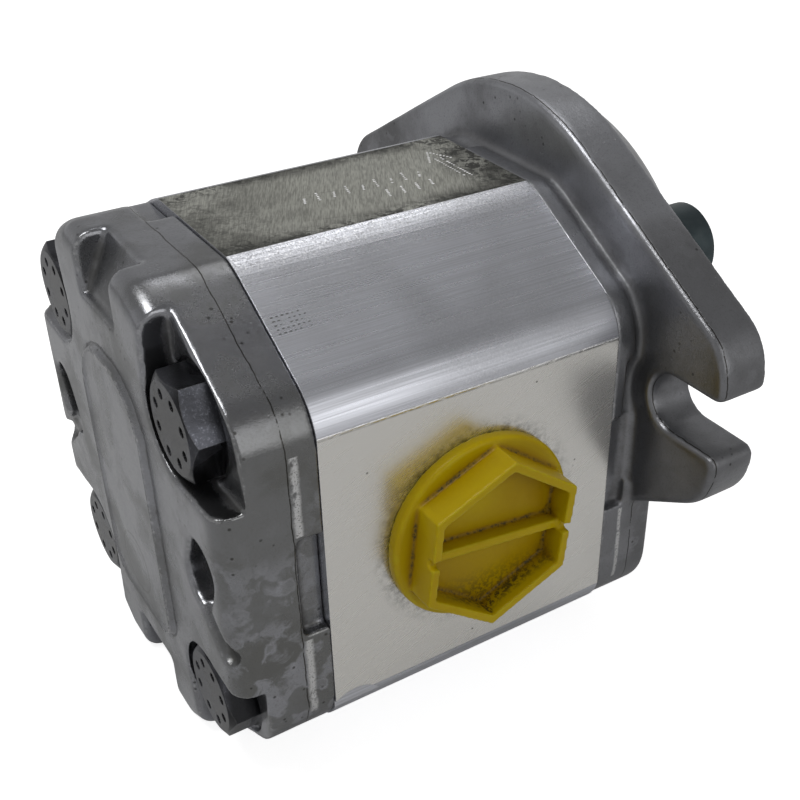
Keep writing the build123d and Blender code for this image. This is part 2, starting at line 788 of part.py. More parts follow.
def port_cap(side, thread_radius, turn):
    """Plastic screw cap: plug, disc, and a hollow hexagon head with a web across it."""
    face_y = body_half_width
    frame = Plane(
        origin=(middle_x, side * face_y, middle_z), x_dir=(1, 0, 0), z_dir=(0, side, 0),
    )

    def lift(sketch, start, end):
        """Extrudes a sketch outwards from the port face."""
        return extrude(frame.offset(start) * sketch, amount=end - start)

    disc_radius = thread_radius + cap_disc_overhang
    disc = lift(Circle(disc_radius), 0, cap_disc_thickness)
    outer_rim = disc.faces().sort_by(Axis.Y)[0 if side < 0 else -1].edges()
    shape = fillet(outer_rim, cap_disc_edge)
    half_flats = thread_radius * cap_hex_ratio
    spin = side * -turn
    hexagon = RegularPolygon(half_flats, 6, major_radius=False, rotation=spin)
    hollow = RegularPolygon(half_flats - cap_head_wall, 6, major_radius=False, rotation=spin)
    shape += lift(hexagon, cap_disc_thickness / 2, cap_head_height)
    floor = cap_disc_thickness + cap_floor
    shape -= lift(hollow, floor, cap_head_height)
    web_turn = spin - 30
    across = Rectangle(2 * half_flats - cap_head_wall, cap_web_thickness, rotation=web_turn)
    shape += lift(across, floor - cap_web_sink, cap_head_height - cap_web_drop)
    notch = Rectangle(2 * disc_radius, cap_notch_depth, rotation=web_turn)
    shape -= lift(notch, cap_head_height - cap_notch_depth, cap_head_height)
    plug_radius = thread_radius - cap_thread_gap
    core = plug_radius - cap_thread_height
    shape += lift(Circle(core), -cap_plug_length, 0)
    turns = int((cap_plug_length - cap_thread_pitch) / cap_thread_pitch)
    for index in range(turns):
        start = -cap_plug_length + (index + 0.5) * cap_thread_pitch
        ridge = frame.offset(start + cap_thread_pitch / 4)
        for way in sides:
            shape += loft([
                ridge * Circle(plug_radius),
                ridge.offset(way * cap_thread_pitch / 3) * Circle(core - cap_thread_root_sink),
            ])
    return shape - lift(Circle(core - cap_plug_wall), -cap_plug_length, 0)


def build():
    """Every node of the pump, by name."""
    nodes = {
        "pump_body": pump_body(),
        "rear_cover": rear_cover(),
        "mounting_flange": mounting_flange(),
        "drive_gear_shaft": drive_gear_shaft(),
        "idler_gear_shaft": idler_gear_shaft(),
        "shaft_key": shaft_key(),
        "shaft_seal_case": shaft_seal_case(),
        "shaft_seal_lip": shaft_seal_lip(),
        "garter_spring": garter(garter_radius),
        "seal_retaining_ring": seal_retaining_ring(),
        "inlet_cap": port_cap(-1, inlet_thread_radius, inlet_cap_turn),
        "outlet_cap": port_cap(1, outlet_thread_radius, outlet_cap_turn),
    }
    for end, direction, seam_x in (("front", 1, front_seam_x), ("rear", -1, rear_seam_x)):
        nodes[f"{end}_bearing_block"] = bearing_block(direction)
        nodes[f"{end}_drive_liner"] = bearing_liner(direction, 0)
        nodes[f"{end}_idler_liner"] = bearing_liner(direction, idler_z)
        nodes[f"{end}_body_seal"] = body_seal(seam_x, direction)
        nodes[f"{end}_balance_seal"] = balance_seal(direction)
        nodes[f"{end}_backup_ring"] = backup_ring(direction)
        for lateral, side in (("left", 1), ("right", -1)):
            nodes[f"{end}_dowel_{lateral}"] = dowel(seam_x, side)
    for place, _, _, (y, z) in bolt_places():
        nodes[f"cover_bolt_{place}"] = cover_bolt(y, z, bolt_head_turns[place])
    return nodes


os.makedirs("parts", exist_ok=True)
for name, shape in build().items():
    export_step(shape, os.path.join("parts", name + ".step"))
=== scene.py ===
import logging
import math
from dataclasses import dataclass
from enum import Enum

import bmesh
import bpy
import numpy as np
from mathutils import Matrix, Vector, kdtree, noise


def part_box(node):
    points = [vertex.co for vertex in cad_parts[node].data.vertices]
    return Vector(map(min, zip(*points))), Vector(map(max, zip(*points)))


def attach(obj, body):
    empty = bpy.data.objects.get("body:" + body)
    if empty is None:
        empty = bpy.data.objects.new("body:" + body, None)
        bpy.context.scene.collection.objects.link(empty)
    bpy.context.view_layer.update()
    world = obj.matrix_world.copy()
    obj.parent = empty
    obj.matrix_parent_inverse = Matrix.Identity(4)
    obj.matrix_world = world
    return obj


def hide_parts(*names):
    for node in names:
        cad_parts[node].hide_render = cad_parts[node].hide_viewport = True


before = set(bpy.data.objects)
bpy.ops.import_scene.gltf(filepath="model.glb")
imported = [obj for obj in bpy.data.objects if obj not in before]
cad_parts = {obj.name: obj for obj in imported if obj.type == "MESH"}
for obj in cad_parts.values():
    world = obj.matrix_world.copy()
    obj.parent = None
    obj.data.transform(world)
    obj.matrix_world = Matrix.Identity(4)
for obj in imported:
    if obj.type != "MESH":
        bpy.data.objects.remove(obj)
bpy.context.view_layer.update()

# Looks of an external gear pump. Metres, +X along the shaft towards its driven end, +Z up, with the
# origin on the drive shaft's axis in the flange's mounting face.

MM = 0.001
HOUSING = "housing"

log = logging.getLogger("pump")

Color = tuple[float, float, float, float]
Point = tuple[float, float, float]
Socket = bpy.types.NodeSocket


def grey(value: float, blue: float = 0.0, olive: float = 0.0) -> Color:
    """Near-neutral colour, tilted towards blue or olive."""
    return (value * (1 - blue / 2), value * (1 - blue / 4), value * (1 + blue) * (1 - olive), 1.0)


class Port(Enum):
    """The two ports, by the name that their pieces start with."""

    INLET = "inlet"
    OUTLET = "outlet"


@dataclass(frozen=True)
class Layout:
    """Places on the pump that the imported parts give."""

    rear_seam: float
    front_seam: float
    back: float
    half_width: float
    bottom: float
    top: float
    slope_start: float = 16.5 * MM
    flat_half_width: float = 15.1 * MM
    slope_fall: float = 0.553
    shoulder_radius: float = 12.0 * MM
    mill_depth: float = 0.3 * MM
    pocket_half_height: float = 10.5 * MM

    @classmethod
    def read(cls) -> "Layout":
        """Reads the layout from the boxes of the body and the rear cover."""
        low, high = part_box("pump_body")
        cover_low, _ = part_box("rear_cover")
        return cls(low.x, high.x, cover_low.x, high.y, low.z, high.z)

    @property
    def middle_x(self) -> float:
        """Place of the ports' axis along the shaft."""
        return (self.rear_seam + self.front_seam) / 2

    @property
    def middle_z(self) -> float:
        """Height of the ports' axis."""
        return (self.bottom + self.top) / 2

    @property
    def port_edge(self) -> float:
        """Half the height of a port face, which is milled a little into the side's rounding."""
        half_height = (self.top - self.bottom) / 2
        turn = math.atan(self.slope_fall)
        corner = half_height - self.slope_fall * (self.half_width + self.mill_depth - self.slope_start)
        rounding = corner - self.shoulder_radius * math.tan((math.pi / 2 - turn) / 2)
        return rounding + math.sqrt(self.mill_depth * (2 * self.shoulder_radius - self.mill_depth))


LAYOUT = Layout.read()


class Pen:
    """Adds nodes to a tree and joins them, with short calls."""

    def __init__(self, tree: bpy.types.NodeTree) -> None:
        """Keeps the tree that nodes are added to."""
        self.tree = tree

    def add(self, kind: str, inputs: dict | None = None, **settings: object) -> bpy.types.Node:
        """Adds a node.

        Args:
            kind: Blender's type name of the node.
            inputs: values or sockets for its inputs, by name or index.
            settings: properties of the node.

        Returns:
            The new node.
        """
        node = self.tree.nodes.new(kind)
        for key, value in settings.items():
            setattr(node, key, value)
        for key, value in (inputs or {}).items():
            self.feed(node.inputs[key], value)
        return node

    def feed(self, target: Socket, value: object) -> None:
        """Links a socket to an input, or sets the input's value."""
        if isinstance(value, bpy.types.NodeSocket):
            self.tree.links.new(value, target)
        else:
            target.default_value = value

    def coords(self) -> Socket:
        """Object coordinates."""
        return self.add("ShaderNodeTexCoord").outputs["Object"]

    def split(self, vector: Socket) -> tuple[Socket, Socket, Socket]:
        """The three parts of a vector."""
        parts = self.add("ShaderNodeSeparateXYZ", {"Vector": vector}).outputs
        return parts[0], parts[1], parts[2]

    def math(self, operation: str, *values: object, clamp: bool = False) -> Socket:
        """One arithmetic step on up to three values."""
        inputs = dict(enumerate(values))
        return self.add("ShaderNodeMath", inputs, operation=operation, use_clamp=clamp).outputs[0]

    def remap(
        self, value: Socket, low: object, high: object, start: float = 0.0, end: float = 1.0,
    ) -> Socket:
        """Maps a range of values evenly onto another, clamped.

        Args:
            value: the socket to map.
            low: value that gives start.
            high: value that gives end.
            start: result at low.
            end: result at high.

        Returns:
            The mapped value.
        """
        node = self.add("ShaderNodeMapRange", {0: value, 1: low, 2: high, 3: start, 4: end})
        return node.outputs[0]

    def mix(self, factor: object, first: object, second: object, blend: str = "MIX") -> Socket:
        """Mixes two colours."""
        inputs = {0: factor, 6: first, 7: second}
        return self.add("ShaderNodeMix", inputs, data_type="RGBA", blend_type=blend).outputs[2]

    def stretch(self, vector: Socket, scale: Point, turn: Point = (0, 0, 0)) -> Socket:
        """Turns and scales a vector."""
        inputs = {"Vector": vector, "Scale": scale, "Rotation": turn}
        return self.add("ShaderNodeMapping", inputs, vector_type="POINT").outputs[0]

    def noise(self, vector: Socket, scale: object, detail: float = 3.0, rough: float = 0.55) -> Socket:
        """Fractal noise, as a value from 0 to 1."""
        inputs = {"Vector": vector, "Scale": scale, "Detail": detail, "Roughness": rough}
        return self.add("ShaderNodeTexNoise", inputs).outputs[0]

    def band(self, value: Socket, centre: float, half: float, soft: float) -> Socket:
        """Mask of a band around a value, with soft borders."""
        away = self.math("ABSOLUTE", self.math("SUBTRACT", value, centre))
        return self.remap(away, half + soft, half - soft)

    def times(self, *values: object) -> Socket:
        """Product of several values."""
        result = values[0]
        for value in values[1:]:
            result = self.math("MULTIPLY", result, value)
        return result

    def gain(self, value: object, gain: object, start: object, clamp: bool = False) -> Socket:
        """A value times a gain, plus a start."""
        return self.math("MULTIPLY_ADD", value, gain, start, clamp=clamp)

    def layer(self, tone: object, color: object, *masks: object) -> Socket:
        """Lays a colour over a tone where all the masks are high."""
        return self.mix(self.times(*masks), tone, color)

    def patches(
        self, vector: Socket, scale: float, low: float, high: float, detail: float, rough: float = 0.55,
    ) -> Socket:
        """Patches of a noise: 0 up to low, 1 from high on."""
        return self.remap(self.noise(vector, scale, detail, rough), low, high)

    def distance(self, first: Socket, second: Socket) -> Socket:
        """Length of two parts that stand square to each other."""
        square = self.math("ADD", self.times(first, first), self.times(second, second))
        return self.math("SQRT", square)

    def vector(self, operation: str, *values: object) -> bpy.types.NodeOutputs:
        """One arithmetic step on vectors."""
        return self.add("ShaderNodeVectorMath", dict(enumerate(values)), operation=operation).outputs

    def bent(self, vector: Socket, scale: object, reach: float) -> Socket:
        """Coordinates that a noise pushes about by up to some reach."""
        wave = self.add("ShaderNodeTexNoise", {"Vector": vector, "Scale": scale}).outputs[1]
        return self.vector("MULTIPLY_ADD", wave, (reach, reach, reach), vector)[0]

    def attribute(self, name: str) -> Socket:
        """Number that the mesh keeps for each corner."""
        return self.add("ShaderNodeAttribute", attribute_name=name).outputs["Fac"]

    def either(self, *masks: Socket) -> Socket:
        """Highest of several masks."""
        result = masks[0]
        for mask in masks[1:]:
            result = self.math("MAXIMUM", result, mask)
        return result

    def bump(self, height: Socket, depth: float, normal: Socket | None = None) -> Socket:
        """Normal that follows a height, given in metres."""
        inputs: dict = {"Height": height, "Strength": 1.0, "Distance": depth}
        if normal is not None:
            inputs["Normal"] = normal
        return self.add("ShaderNodeBump", inputs).outputs[0]


class Effect:
    """Shader node group with named inputs and outputs, built once and placed in any material."""

    title = "effect"
    numbers: dict[str, float] = {}
    results: dict[str, str] = {"Mask": "Float"}

    def draw(self, pen: Pen, given: bpy.types.NodeOutputs) -> dict[str, Socket]:
        """Draws the group's nodes.

        Args:
            pen: adds nodes to the group.
            given: the group's inputs.

        Returns:
            The socket for each output, by name.
        """
        raise NotImplementedError

    def tree(self) -> bpy.types.NodeTree:
        """The group's node tree, made at the first call."""
        found = bpy.data.node_groups.get(self.title)
        if found is not None:
            return found
        tree = bpy.data.node_groups.new(self.title, "ShaderNodeTree")
        tree.interface.new_socket("Vector", in_out="INPUT", socket_type="NodeSocketVector")
        for name, value in self.numbers.items():
            item = tree.interface.new_socket(name, in_out="INPUT", socket_type="NodeSocketFloat")
            item.default_value = value
        for name, kind in self.results.items():
            tree.interface.new_socket(name, in_out="OUTPUT", socket_type="NodeSocket" + kind)
        entry = tree.nodes.new("NodeGroupInput")
        end = tree.nodes.new("NodeGroupOutput")
        for name, socket in self.draw(Pen(tree), entry.outputs).items():
            tree.links.new(socket, end.inputs[name])
        return tree

    def place(self, pen: Pen, vector: Socket, **values: object) -> bpy.types.NodeOutputs:
        """Places the group in a material.

        Args:
            pen: adds nodes to the material.
            vector: coordinates that the effect reads.
            values: the group's inputs, by name.

        Returns:
            The group's outputs.
        """
        node = pen.add("ShaderNodeGroup", node_tree=self.tree())
        pen.feed(node.inputs["Vector"], vector)
        for name, value in values.items():
            pen.feed(node.inputs[name], value)
        return node.outputs


class Rounding(Effect):
    """Normal that rounds sharp edges off, and how far it turns there."""

    title = "rounding"
    numbers = {"Radius": 0.3 * MM}
    results = {"Edge": "Float", "Normal": "Vector"}

    def draw(self, pen: Pen, given: bpy.types.NodeOutputs) -> dict[str, Socket]:
        """Compares the rounded normal with the true one."""
        rounded = pen.add("ShaderNodeBevel", {"Radius": given["Radius"]}, samples=4).outputs[0]
        true = pen.add("ShaderNodeNewGeometry").outputs["Normal"]
        turn = pen.math("SUBTRACT", 1.0, pen.vector("DOT_PRODUCT", rounded, true)["Value"])
        return {"Edge": pen.remap(turn, 0.02, 0.22), "Normal": rounded}


class Wear(Effect):
    """Bare metal on edges, broken up by noise."""

    title = "wear"
    numbers = {"Edge": 0.0, "Low": 0.35, "High": 0.9, "Breakup": 900.0}

    def draw(self, pen: Pen, given: bpy.types.NodeOutputs) -> dict[str, Socket]:
        """Lets noise shift the border of the worn zone."""
        cloud = pen.noise(given["Vector"], given["Breakup"], 4.0, 0.7)
        shift = pen.remap(cloud, 0.3, 0.7, -0.4, 0.4)
        return {"Mask": pen.remap(pen.math("ADD", given["Edge"], shift), given["Low"], given["High"])}


class DirtAndShade(Effect):
    """Dark film in hollows, partly grime and partly painted shade, cloudy at its border."""

    title = "dirt_and_shade"
    numbers = {"Hollow": 0.0, "Low": 0.2, "High": 0.8, "Breakup": 420.0}

    def draw(self, pen: Pen, given: bpy.types.NodeOutputs) -> dict[str, Socket]:
        """Shifts the hollow's border by noise, and lets it fade far from any hollow."""
        cloud = pen.noise(given["Vector"], given["Breakup"], 4.0, 0.65)
        shift = pen.remap(cloud, 0.3, 0.7, -0.25, 0.25)
        value = pen.remap(pen.math("ADD", given["Hollow"], shift), given["Low"], given["High"])
        return {"Mask": pen.math("MULTIPLY", value, pen.remap(given["Hollow"], 0.0, 0.12))}


class Grain(Effect):
    """Fine skin of a casting, with small pits."""

    title = "grain"
    numbers = {"Scale": 2600.0, "Pits": 900.0}
    results = {"Height": "Float"}

    def draw(self, pen: Pen, given: bpy.types.NodeOutputs) -> dict[str, Socket]:
        """Adds a fine noise, a soft swell and round pits."""
        fine = pen.noise(given["Vector"], given["Scale"], 4.0, 0.6)
        swell = pen.noise(given["Vector"], pen.math("MULTIPLY", given["Scale"], 0.12), 3.0, 0.5)
        cells = pen.add("ShaderNodeTexVoronoi", {"Vector": given["Vector"], "Scale": given["Pits"]})
        rare = pen.patches(given["Vector"], 160.0, 0.52, 0.66, 2.0)
        pit = pen.math("MULTIPLY", pen.remap(cells.outputs["Distance"], 0.22, 0.05), rare)
        return {"Height": pen.gain(pit, -1.4, pen.gain(swell, 2.2, fine))}


class Pepper(Effect):
    """Fine light and dark grains, as on rough metal in a hard light."""

    title = "pepper"
    numbers = {"Scale": 2400.0}
    results = {"Bright": "Float", "Dark": "Float"}

    def draw(self, pen: Pen, given: bpy.types.NodeOutputs) -> dict[str, Socket]:
        """Keeps the highest and the lowest parts of a rough noise."""
        rough = pen.noise(given["Vector"], given["Scale"], 2.0, 0.8)
        return {"Bright": pen.remap(rough, 0.55, 0.66), "Dark": pen.remap(rough, 0.45, 0.34)}


class Brushing(Effect):
    """Fine straight lines along X of the coordinates it is given."""

    title = "brushing"
    numbers = {"Fine": 3000.0, "Coarse": 900.0, "Squeeze": 0.012}
    results = {"Height": "Float", "Streak": "Float"}

    def draw(self, pen: Pen, given: bpy.types.NodeOutputs) -> dict[str, Socket]:
        """Reads two noises on coordinates that are squeezed along X."""
        scale = pen.add("ShaderNodeCombineXYZ", {"X": given["Squeeze"], "Y": 1.0, "Z": 1.0}).outputs[0]
        squeezed = pen.vector("MULTIPLY", given["Vector"], scale)[0]
        fine = pen.noise(squeezed, given["Fine"], 1.0, 0.5)
        coarse = pen.noise(squeezed, given["Coarse"], 2.0, 0.65)
        both = pen.gain(fine, 0.55, pen.math("MULTIPLY", coarse, 0.45))
        return {"Height": fine, "Streak": pen.remap(both, 0.38, 0.62)}


class Scratches(Effect):
    """Sparse thin scratches along X of the coordinates it is given."""

    title = "scratches"
    numbers = {"Scale": 260.0, "Share": 0.63}

    def draw(self, pen: Pen, given: bpy.types.NodeOutputs) -> dict[str, Socket]:
        """Keeps the highest lines of a squeezed noise, in patches."""
        bent = pen.noise(given["Vector"], 25.0, 1.0)
        shift = pen.add("ShaderNodeCombineXYZ", {"Y": pen.math("MULTIPLY", bent, 4 * MM)}).outputs[0]
        squeezed = pen.stretch(pen.vector("ADD", given["Vector"], shift)[0], (0.09, 5.0, 5.0))
        lines = pen.noise(squeezed, given["Scale"], 2.0, 0.5)
        over = pen.math("ADD", given["Share"], 0.04)
        patch = pen.patches(given["Vector"], 90.0, 0.46, 0.6, 2.0)
        return {"Mask": pen.times(pen.remap(lines, given["Share"], over), patch)}


class Clouds(Effect):
    """Soft stains of uneven size."""

    title = "clouds"
    numbers = {"Scale": 60.0, "Low": 0.45, "High": 0.62, "Detail": 4.0}

    def draw(self, pen: Pen, given: bpy.types.NodeOutputs) -> dict[str, Socket]:
        """Bends the coordinates before the noise is read."""
        bent = pen.bent(given["Vector"], given["Scale"], 8 * MM)
        cloud = pen.noise(bent, given["Scale"], given["Detail"], 0.6)
        return {"Mask": pen.remap(cloud, given["Low"], given["High"])}


class DropStains(Effect):
    """Round dried drops: a pale disc with a paler ring, here and there."""

    title = "drop_stains"
    numbers = {"Scale": 230.0, "Share": 0.5}

    def draw(self, pen: Pen, given: bpy.types.NodeOutputs) -> dict[str, Socket]:
        """Reads the distance to random points, bent a little by noise."""
        bent = pen.bent(given["Vector"], 500.0, 2 * MM)
        cells = pen.add("ShaderNodeTexVoronoi", {"Vector": bent, "Scale": given["Scale"]})
        away = cells.outputs["Distance"]
        chance = pen.split(cells.outputs["Color"])[0]
        kept = pen.math("LESS_THAN", chance, given["Share"])
        disc = pen.remap(away, 0.44, 0.36)
        ring = pen.band(away, 0.38, 0.05, 0.04)
        return {"Mask": pen.times(kept, pen.gain(ring, 0.5, pen.times(disc, 0.5)))}


class Specks(Effect):
    """Small dark specks and nicks."""

    title = "specks"
    numbers = {"Scale": 420.0, "Size": 0.16}

    def draw(self, pen: Pen, given: bpy.types.NodeOutputs) -> dict[str, Socket]:
        """Keeps the cores of a few random cells."""
        cells = pen.add("ShaderNodeTexVoronoi", {"Vector": given["Vector"], "Scale": given["Scale"]})
        inner = pen.math("MULTIPLY", given["Size"], 0.55)
        core = pen.remap(cells.outputs["Distance"], given["Size"], inner)
        chosen = pen.patches(given["Vector"], 75.0, 0.54, 0.58, 2.0)
        return {"Mask": pen.times(core, chosen)}


class BrokenLine(Effect):
    """Line at one value of a coordinate, broken and uneven."""

    title = "broken_line"
    numbers = {"Value": 0.0, "Place": 0.0, "Half": 0.15 * MM, "Breakup": 350.0, "Share": 0.45}

    def draw(self, pen: Pen, given: bpy.types.NodeOutputs) -> dict[str, Socket]:
        """Bends the line a little and leaves parts of it out."""
        bend = pen.remap(pen.noise(given["Vector"], 220.0, 3.0, 0.6), 0.0, 1.0, -0.4 * MM, 0.4 * MM)
        away = pen.math("SUBTRACT", pen.math("ADD", given["Value"], bend), given["Place"])
        off = pen.math("DIVIDE", pen.math("ABSOLUTE", away), given["Half"])
        cloud = pen.noise(given["Vector"], given["Breakup"], 3.0, 0.7)
        least = pen.math("SUBTRACT", given["Share"], 0.04)
        kept = pen.remap(cloud, least, pen.math("ADD", given["Share"], 0.04))
        return {"Mask": pen.times(pen.remap(off, 1.5, 0.6), kept)}


@dataclass(frozen=True)
class Finish:
    """A material made of nodes."""

    name: str

    def start(self) -> tuple[bpy.types.Material, Pen, bpy.types.Node]:
        """Makes an empty material.

        Returns:
            The material, the pen for its nodes and its shader node.
        """
        material = bpy.data.materials.new(self.name)
        material.use_nodes = True
        material.node_tree.nodes.clear()
        pen = Pen(material.node_tree)
        shader = pen.add("ShaderNodeBsdfPrincipled")
        pen.add("ShaderNodeOutputMaterial", {"Surface": shader.outputs[0]})
        return material, pen, shader

    def build(self) -> bpy.types.Material:
        """Makes the material."""
        raise NotImplementedError


@dataclass(frozen=True)
class Parting:
    """Where a casting's halves met: a thin line, and a strip of ground-off flash on its sides."""

    line: float
    strip: float
    strip_half: float
    side: float = 44.6 * MM
    strip_top: float = 11.0 * MM
    line_half: float = 0.1 * MM


@dataclass(frozen=True)
class CastFinish(Finish):
    """Die-cast aluminium, oil stained, with worn edges, painted shade on its side faces, and grime mixed
    with painted shade in its hollows.
    """

    base: Color
    roughness: float
    stain_share: float
    dirt_and_shade_share: float
    wear: float
    wear_low: float
    grain_depth: float
    parting: Parting
    deep: Color = grey(0.12, olive=0.1)
    pale: Color = grey(0.36, blue=0.06)
    worn: Color = grey(0.66)
    dirt_and_shade: Color = (0.03, 0.028, 0.023, 1.0)
    cloud_share: float = 0.4
    dirt_and_shade_low: float = 0.3
    # Band of |y| over which the side faces take painted shade and more stains.
    side_start: float = 38.0 * MM
    side_end: float = 44.5 * MM
    ring_place: Point | None = None
    ring_radius: float = 6.6 * MM
    inner_ring_radius: float = 4.9 * MM
    machined: Color | None = None
    machined_from: float = -0.25 * MM
    bore_radius: float = 20.3 * MM

    def machined_masks(self, pen: Pen, coords: Socket) -> tuple[Socket, Socket]:
        """Masks of the turned faces around the shaft's axis and of their tool rings."""
        x, y, z = pen.split(coords)
        radius = pen.distance(y, z)
        in_bore = pen.math("LESS_THAN", radius, self.bore_radius)
        turned = pen.either(pen.math("GREATER_THAN", x, self.machined_from), in_bore)
        along = pen.add("ShaderNodeCombineXYZ", {"X": radius, "Y": pen.times(x, 0.5)}).outputs[0]
        return turned, pen.remap(pen.noise(along, 2600.0, 2.0), 0.35, 0.65)

    def parting_masks(self, pen: Pen, coords: Socket) -> tuple[Socket, Socket]:
        """Masks of the parting line and of the ground flash.

        Args:
            pen: adds nodes to the material.
            coords: Object coordinates.

        Returns:
            The line's mask and the strip's mask.
        """
        x, y, z = pen.split(coords)
        seen = self.parting
        places = {"Value": x, "Place": seen.line, "Half": seen.line_half}
        line = BrokenLine().place(pen, coords, Share=0.36, **places)[0]
        places = {"Value": x, "Place": seen.strip, "Half": seen.strip_half}
        strip = BrokenLine().place(pen, coords, Breakup=230.0, Share=0.38, **places)[0]
        outside = pen.math("GREATER_THAN", pen.math("ABSOLUTE", y), seen.side)
        below = pen.math("LESS_THAN", z, seen.strip_top)
        gap = pen.math("SUBTRACT", z, LAYOUT.middle_z)
        away = pen.math("GREATER_THAN", pen.math("ABSOLUTE", gap), LAYOUT.pocket_half_height + 1 * MM)
        return line, pen.times(strip, outside, below, away)

    def ring_mask(self, pen: Pen, coords: Socket) -> Socket:
        """Mask of a plain cast ring on the back face."""
        x, y, z = pen.split(coords)
        _, middle_y, middle_z = self.ring_place
        radius = pen.distance(pen.math("SUBTRACT", y, middle_y), pen.math("SUBTRACT", z, middle_z))
        outer = pen.band(radius, self.ring_radius, 0.22 * MM, 0.15 * MM)
        inner = pen.band(radius, self.inner_ring_radius, 0.15 * MM, 0.12 * MM)
        behind = pen.math("LESS_THAN", x, LAYOUT.back + 2 * MM)
        return pen.times(pen.either(outer, pen.times(inner, 0.6)), behind)

    def build(self) -> bpy.types.Material:
        """Makes the material."""
        material, pen, shader = self.start()
        coords = pen.coords()
        _, y, _ = pen.split(coords)
        pepper = Pepper().place(pen, coords)
        clouds = Clouds().place(pen, coords, Scale=55.0)[0]
        blots = Clouds().place(pen, coords, Scale=160.0, Low=0.5, High=0.58)[0]
        drops = DropStains().place(pen, coords)[0]
        hollow = pen.attribute("hollow")
        edge = pen.attribute("edge")
        # The hollow mask stands in for occlusion: the dark film it drives is partly grime, partly painted
        # shade.
        dirt_and_shade = DirtAndShade().place(pen, coords, Hollow=hollow, Low=self.dirt_and_shade_low, High=self.dirt_and_shade_low + 0.6)[0]
        worn = Wear().place(pen, coords, Edge=edge, Low=self.wear_low, High=self.wear_low + 0.5)[0]
        nicks = Specks().place(pen, coords)[0]
        zone = pen.patches(coords, 34.0, 0.42, 0.6, 2.0)
        side = pen.remap(pen.math("ABSOLUTE", y), self.side_start, self.side_end)
        tone = pen.mix(pen.math("MULTIPLY", clouds, self.cloud_share), self.base, self.deep)
        # Painted shade: the side faces are darkened towards the deep colour.
        tone = pen.layer(tone, self.deep, side, 0.55)
        blotted = pen.times(blots, zone, self.stain_share, pen.remap(side, 0.0, 1.0, 0.25, 1.0))
        tone = pen.mix(blotted, tone, self.pale)
        tone = pen.layer(tone, self.pale, drops, zone, self.stain_share, side)
        tone = pen.layer(tone, self.deep, pepper["Dark"], 0.3)
        tone = pen.layer(tone, self.dirt_and_shade, nicks, 0.7)
        # Near-black in the hollows: partly grime, partly painted shade.
        tone = pen.layer(tone, self.dirt_and_shade, dirt_and_shade, self.dirt_and_shade_share)
        tone = pen.layer(tone, self.worn, worn, self.wear)
        height = Grain().place(pen, coords)["Height"]
        shine = pen.remap(clouds, 0.0, 1.0, self.roughness - 0.04, self.roughness + 0.08)
        line, strip = self.parting_masks(pen, coords)
        tone = pen.layer(tone, self.dirt_and_shade, line, 0.95)
        flash = pen.mix(pen.times(pepper["Dark"], 0.75), self.worn, self.dirt_and_shade)
        tone = pen.layer(tone, flash, strip, 0.9)
        height = pen.gain(line, -0.5, height)
        if self.ring_place:
            ring = self.ring_mask(pen, coords)
            # The ring's groove is darkened as painted shade, besides its bump.
            tone = pen.layer(tone, self.deep, ring, 0.5)
            height = pen.gain(ring, -1.2, height)
        if self.machined:
            turned, rings = self.machined_masks(pen, coords)
            bright = pen.mix(pen.times(rings, 0.3), self.machined, self.base)
            bright = pen.layer(bright, self.base, clouds, 0.3)
            tone = pen.mix(turned, tone, bright)
            height = pen.mix(turned, height, rings)
        pen.feed(shader.inputs["Base Color"], tone)
        shine = pen.gain(pen.times(dirt_and_shade, self.dirt_and_shade_share), 0.25, shine)
        shine = pen.gain(worn, -0.08, shine)
        shine = pen.gain(pepper["Bright"], -0.04, shine, clamp=True)
        pen.feed(shader.inputs["Roughness"], shine)
        metal = pen.remap(dirt_and_shade, 0.0, 1.0, 0.95, 0.95 - 0.6 * self.dirt_and_shade_share)
        pen.feed(shader.inputs["Metallic"], metal)
        pen.feed(shader.inputs["Normal"], pen.bump(height, self.grain_depth))
        return material


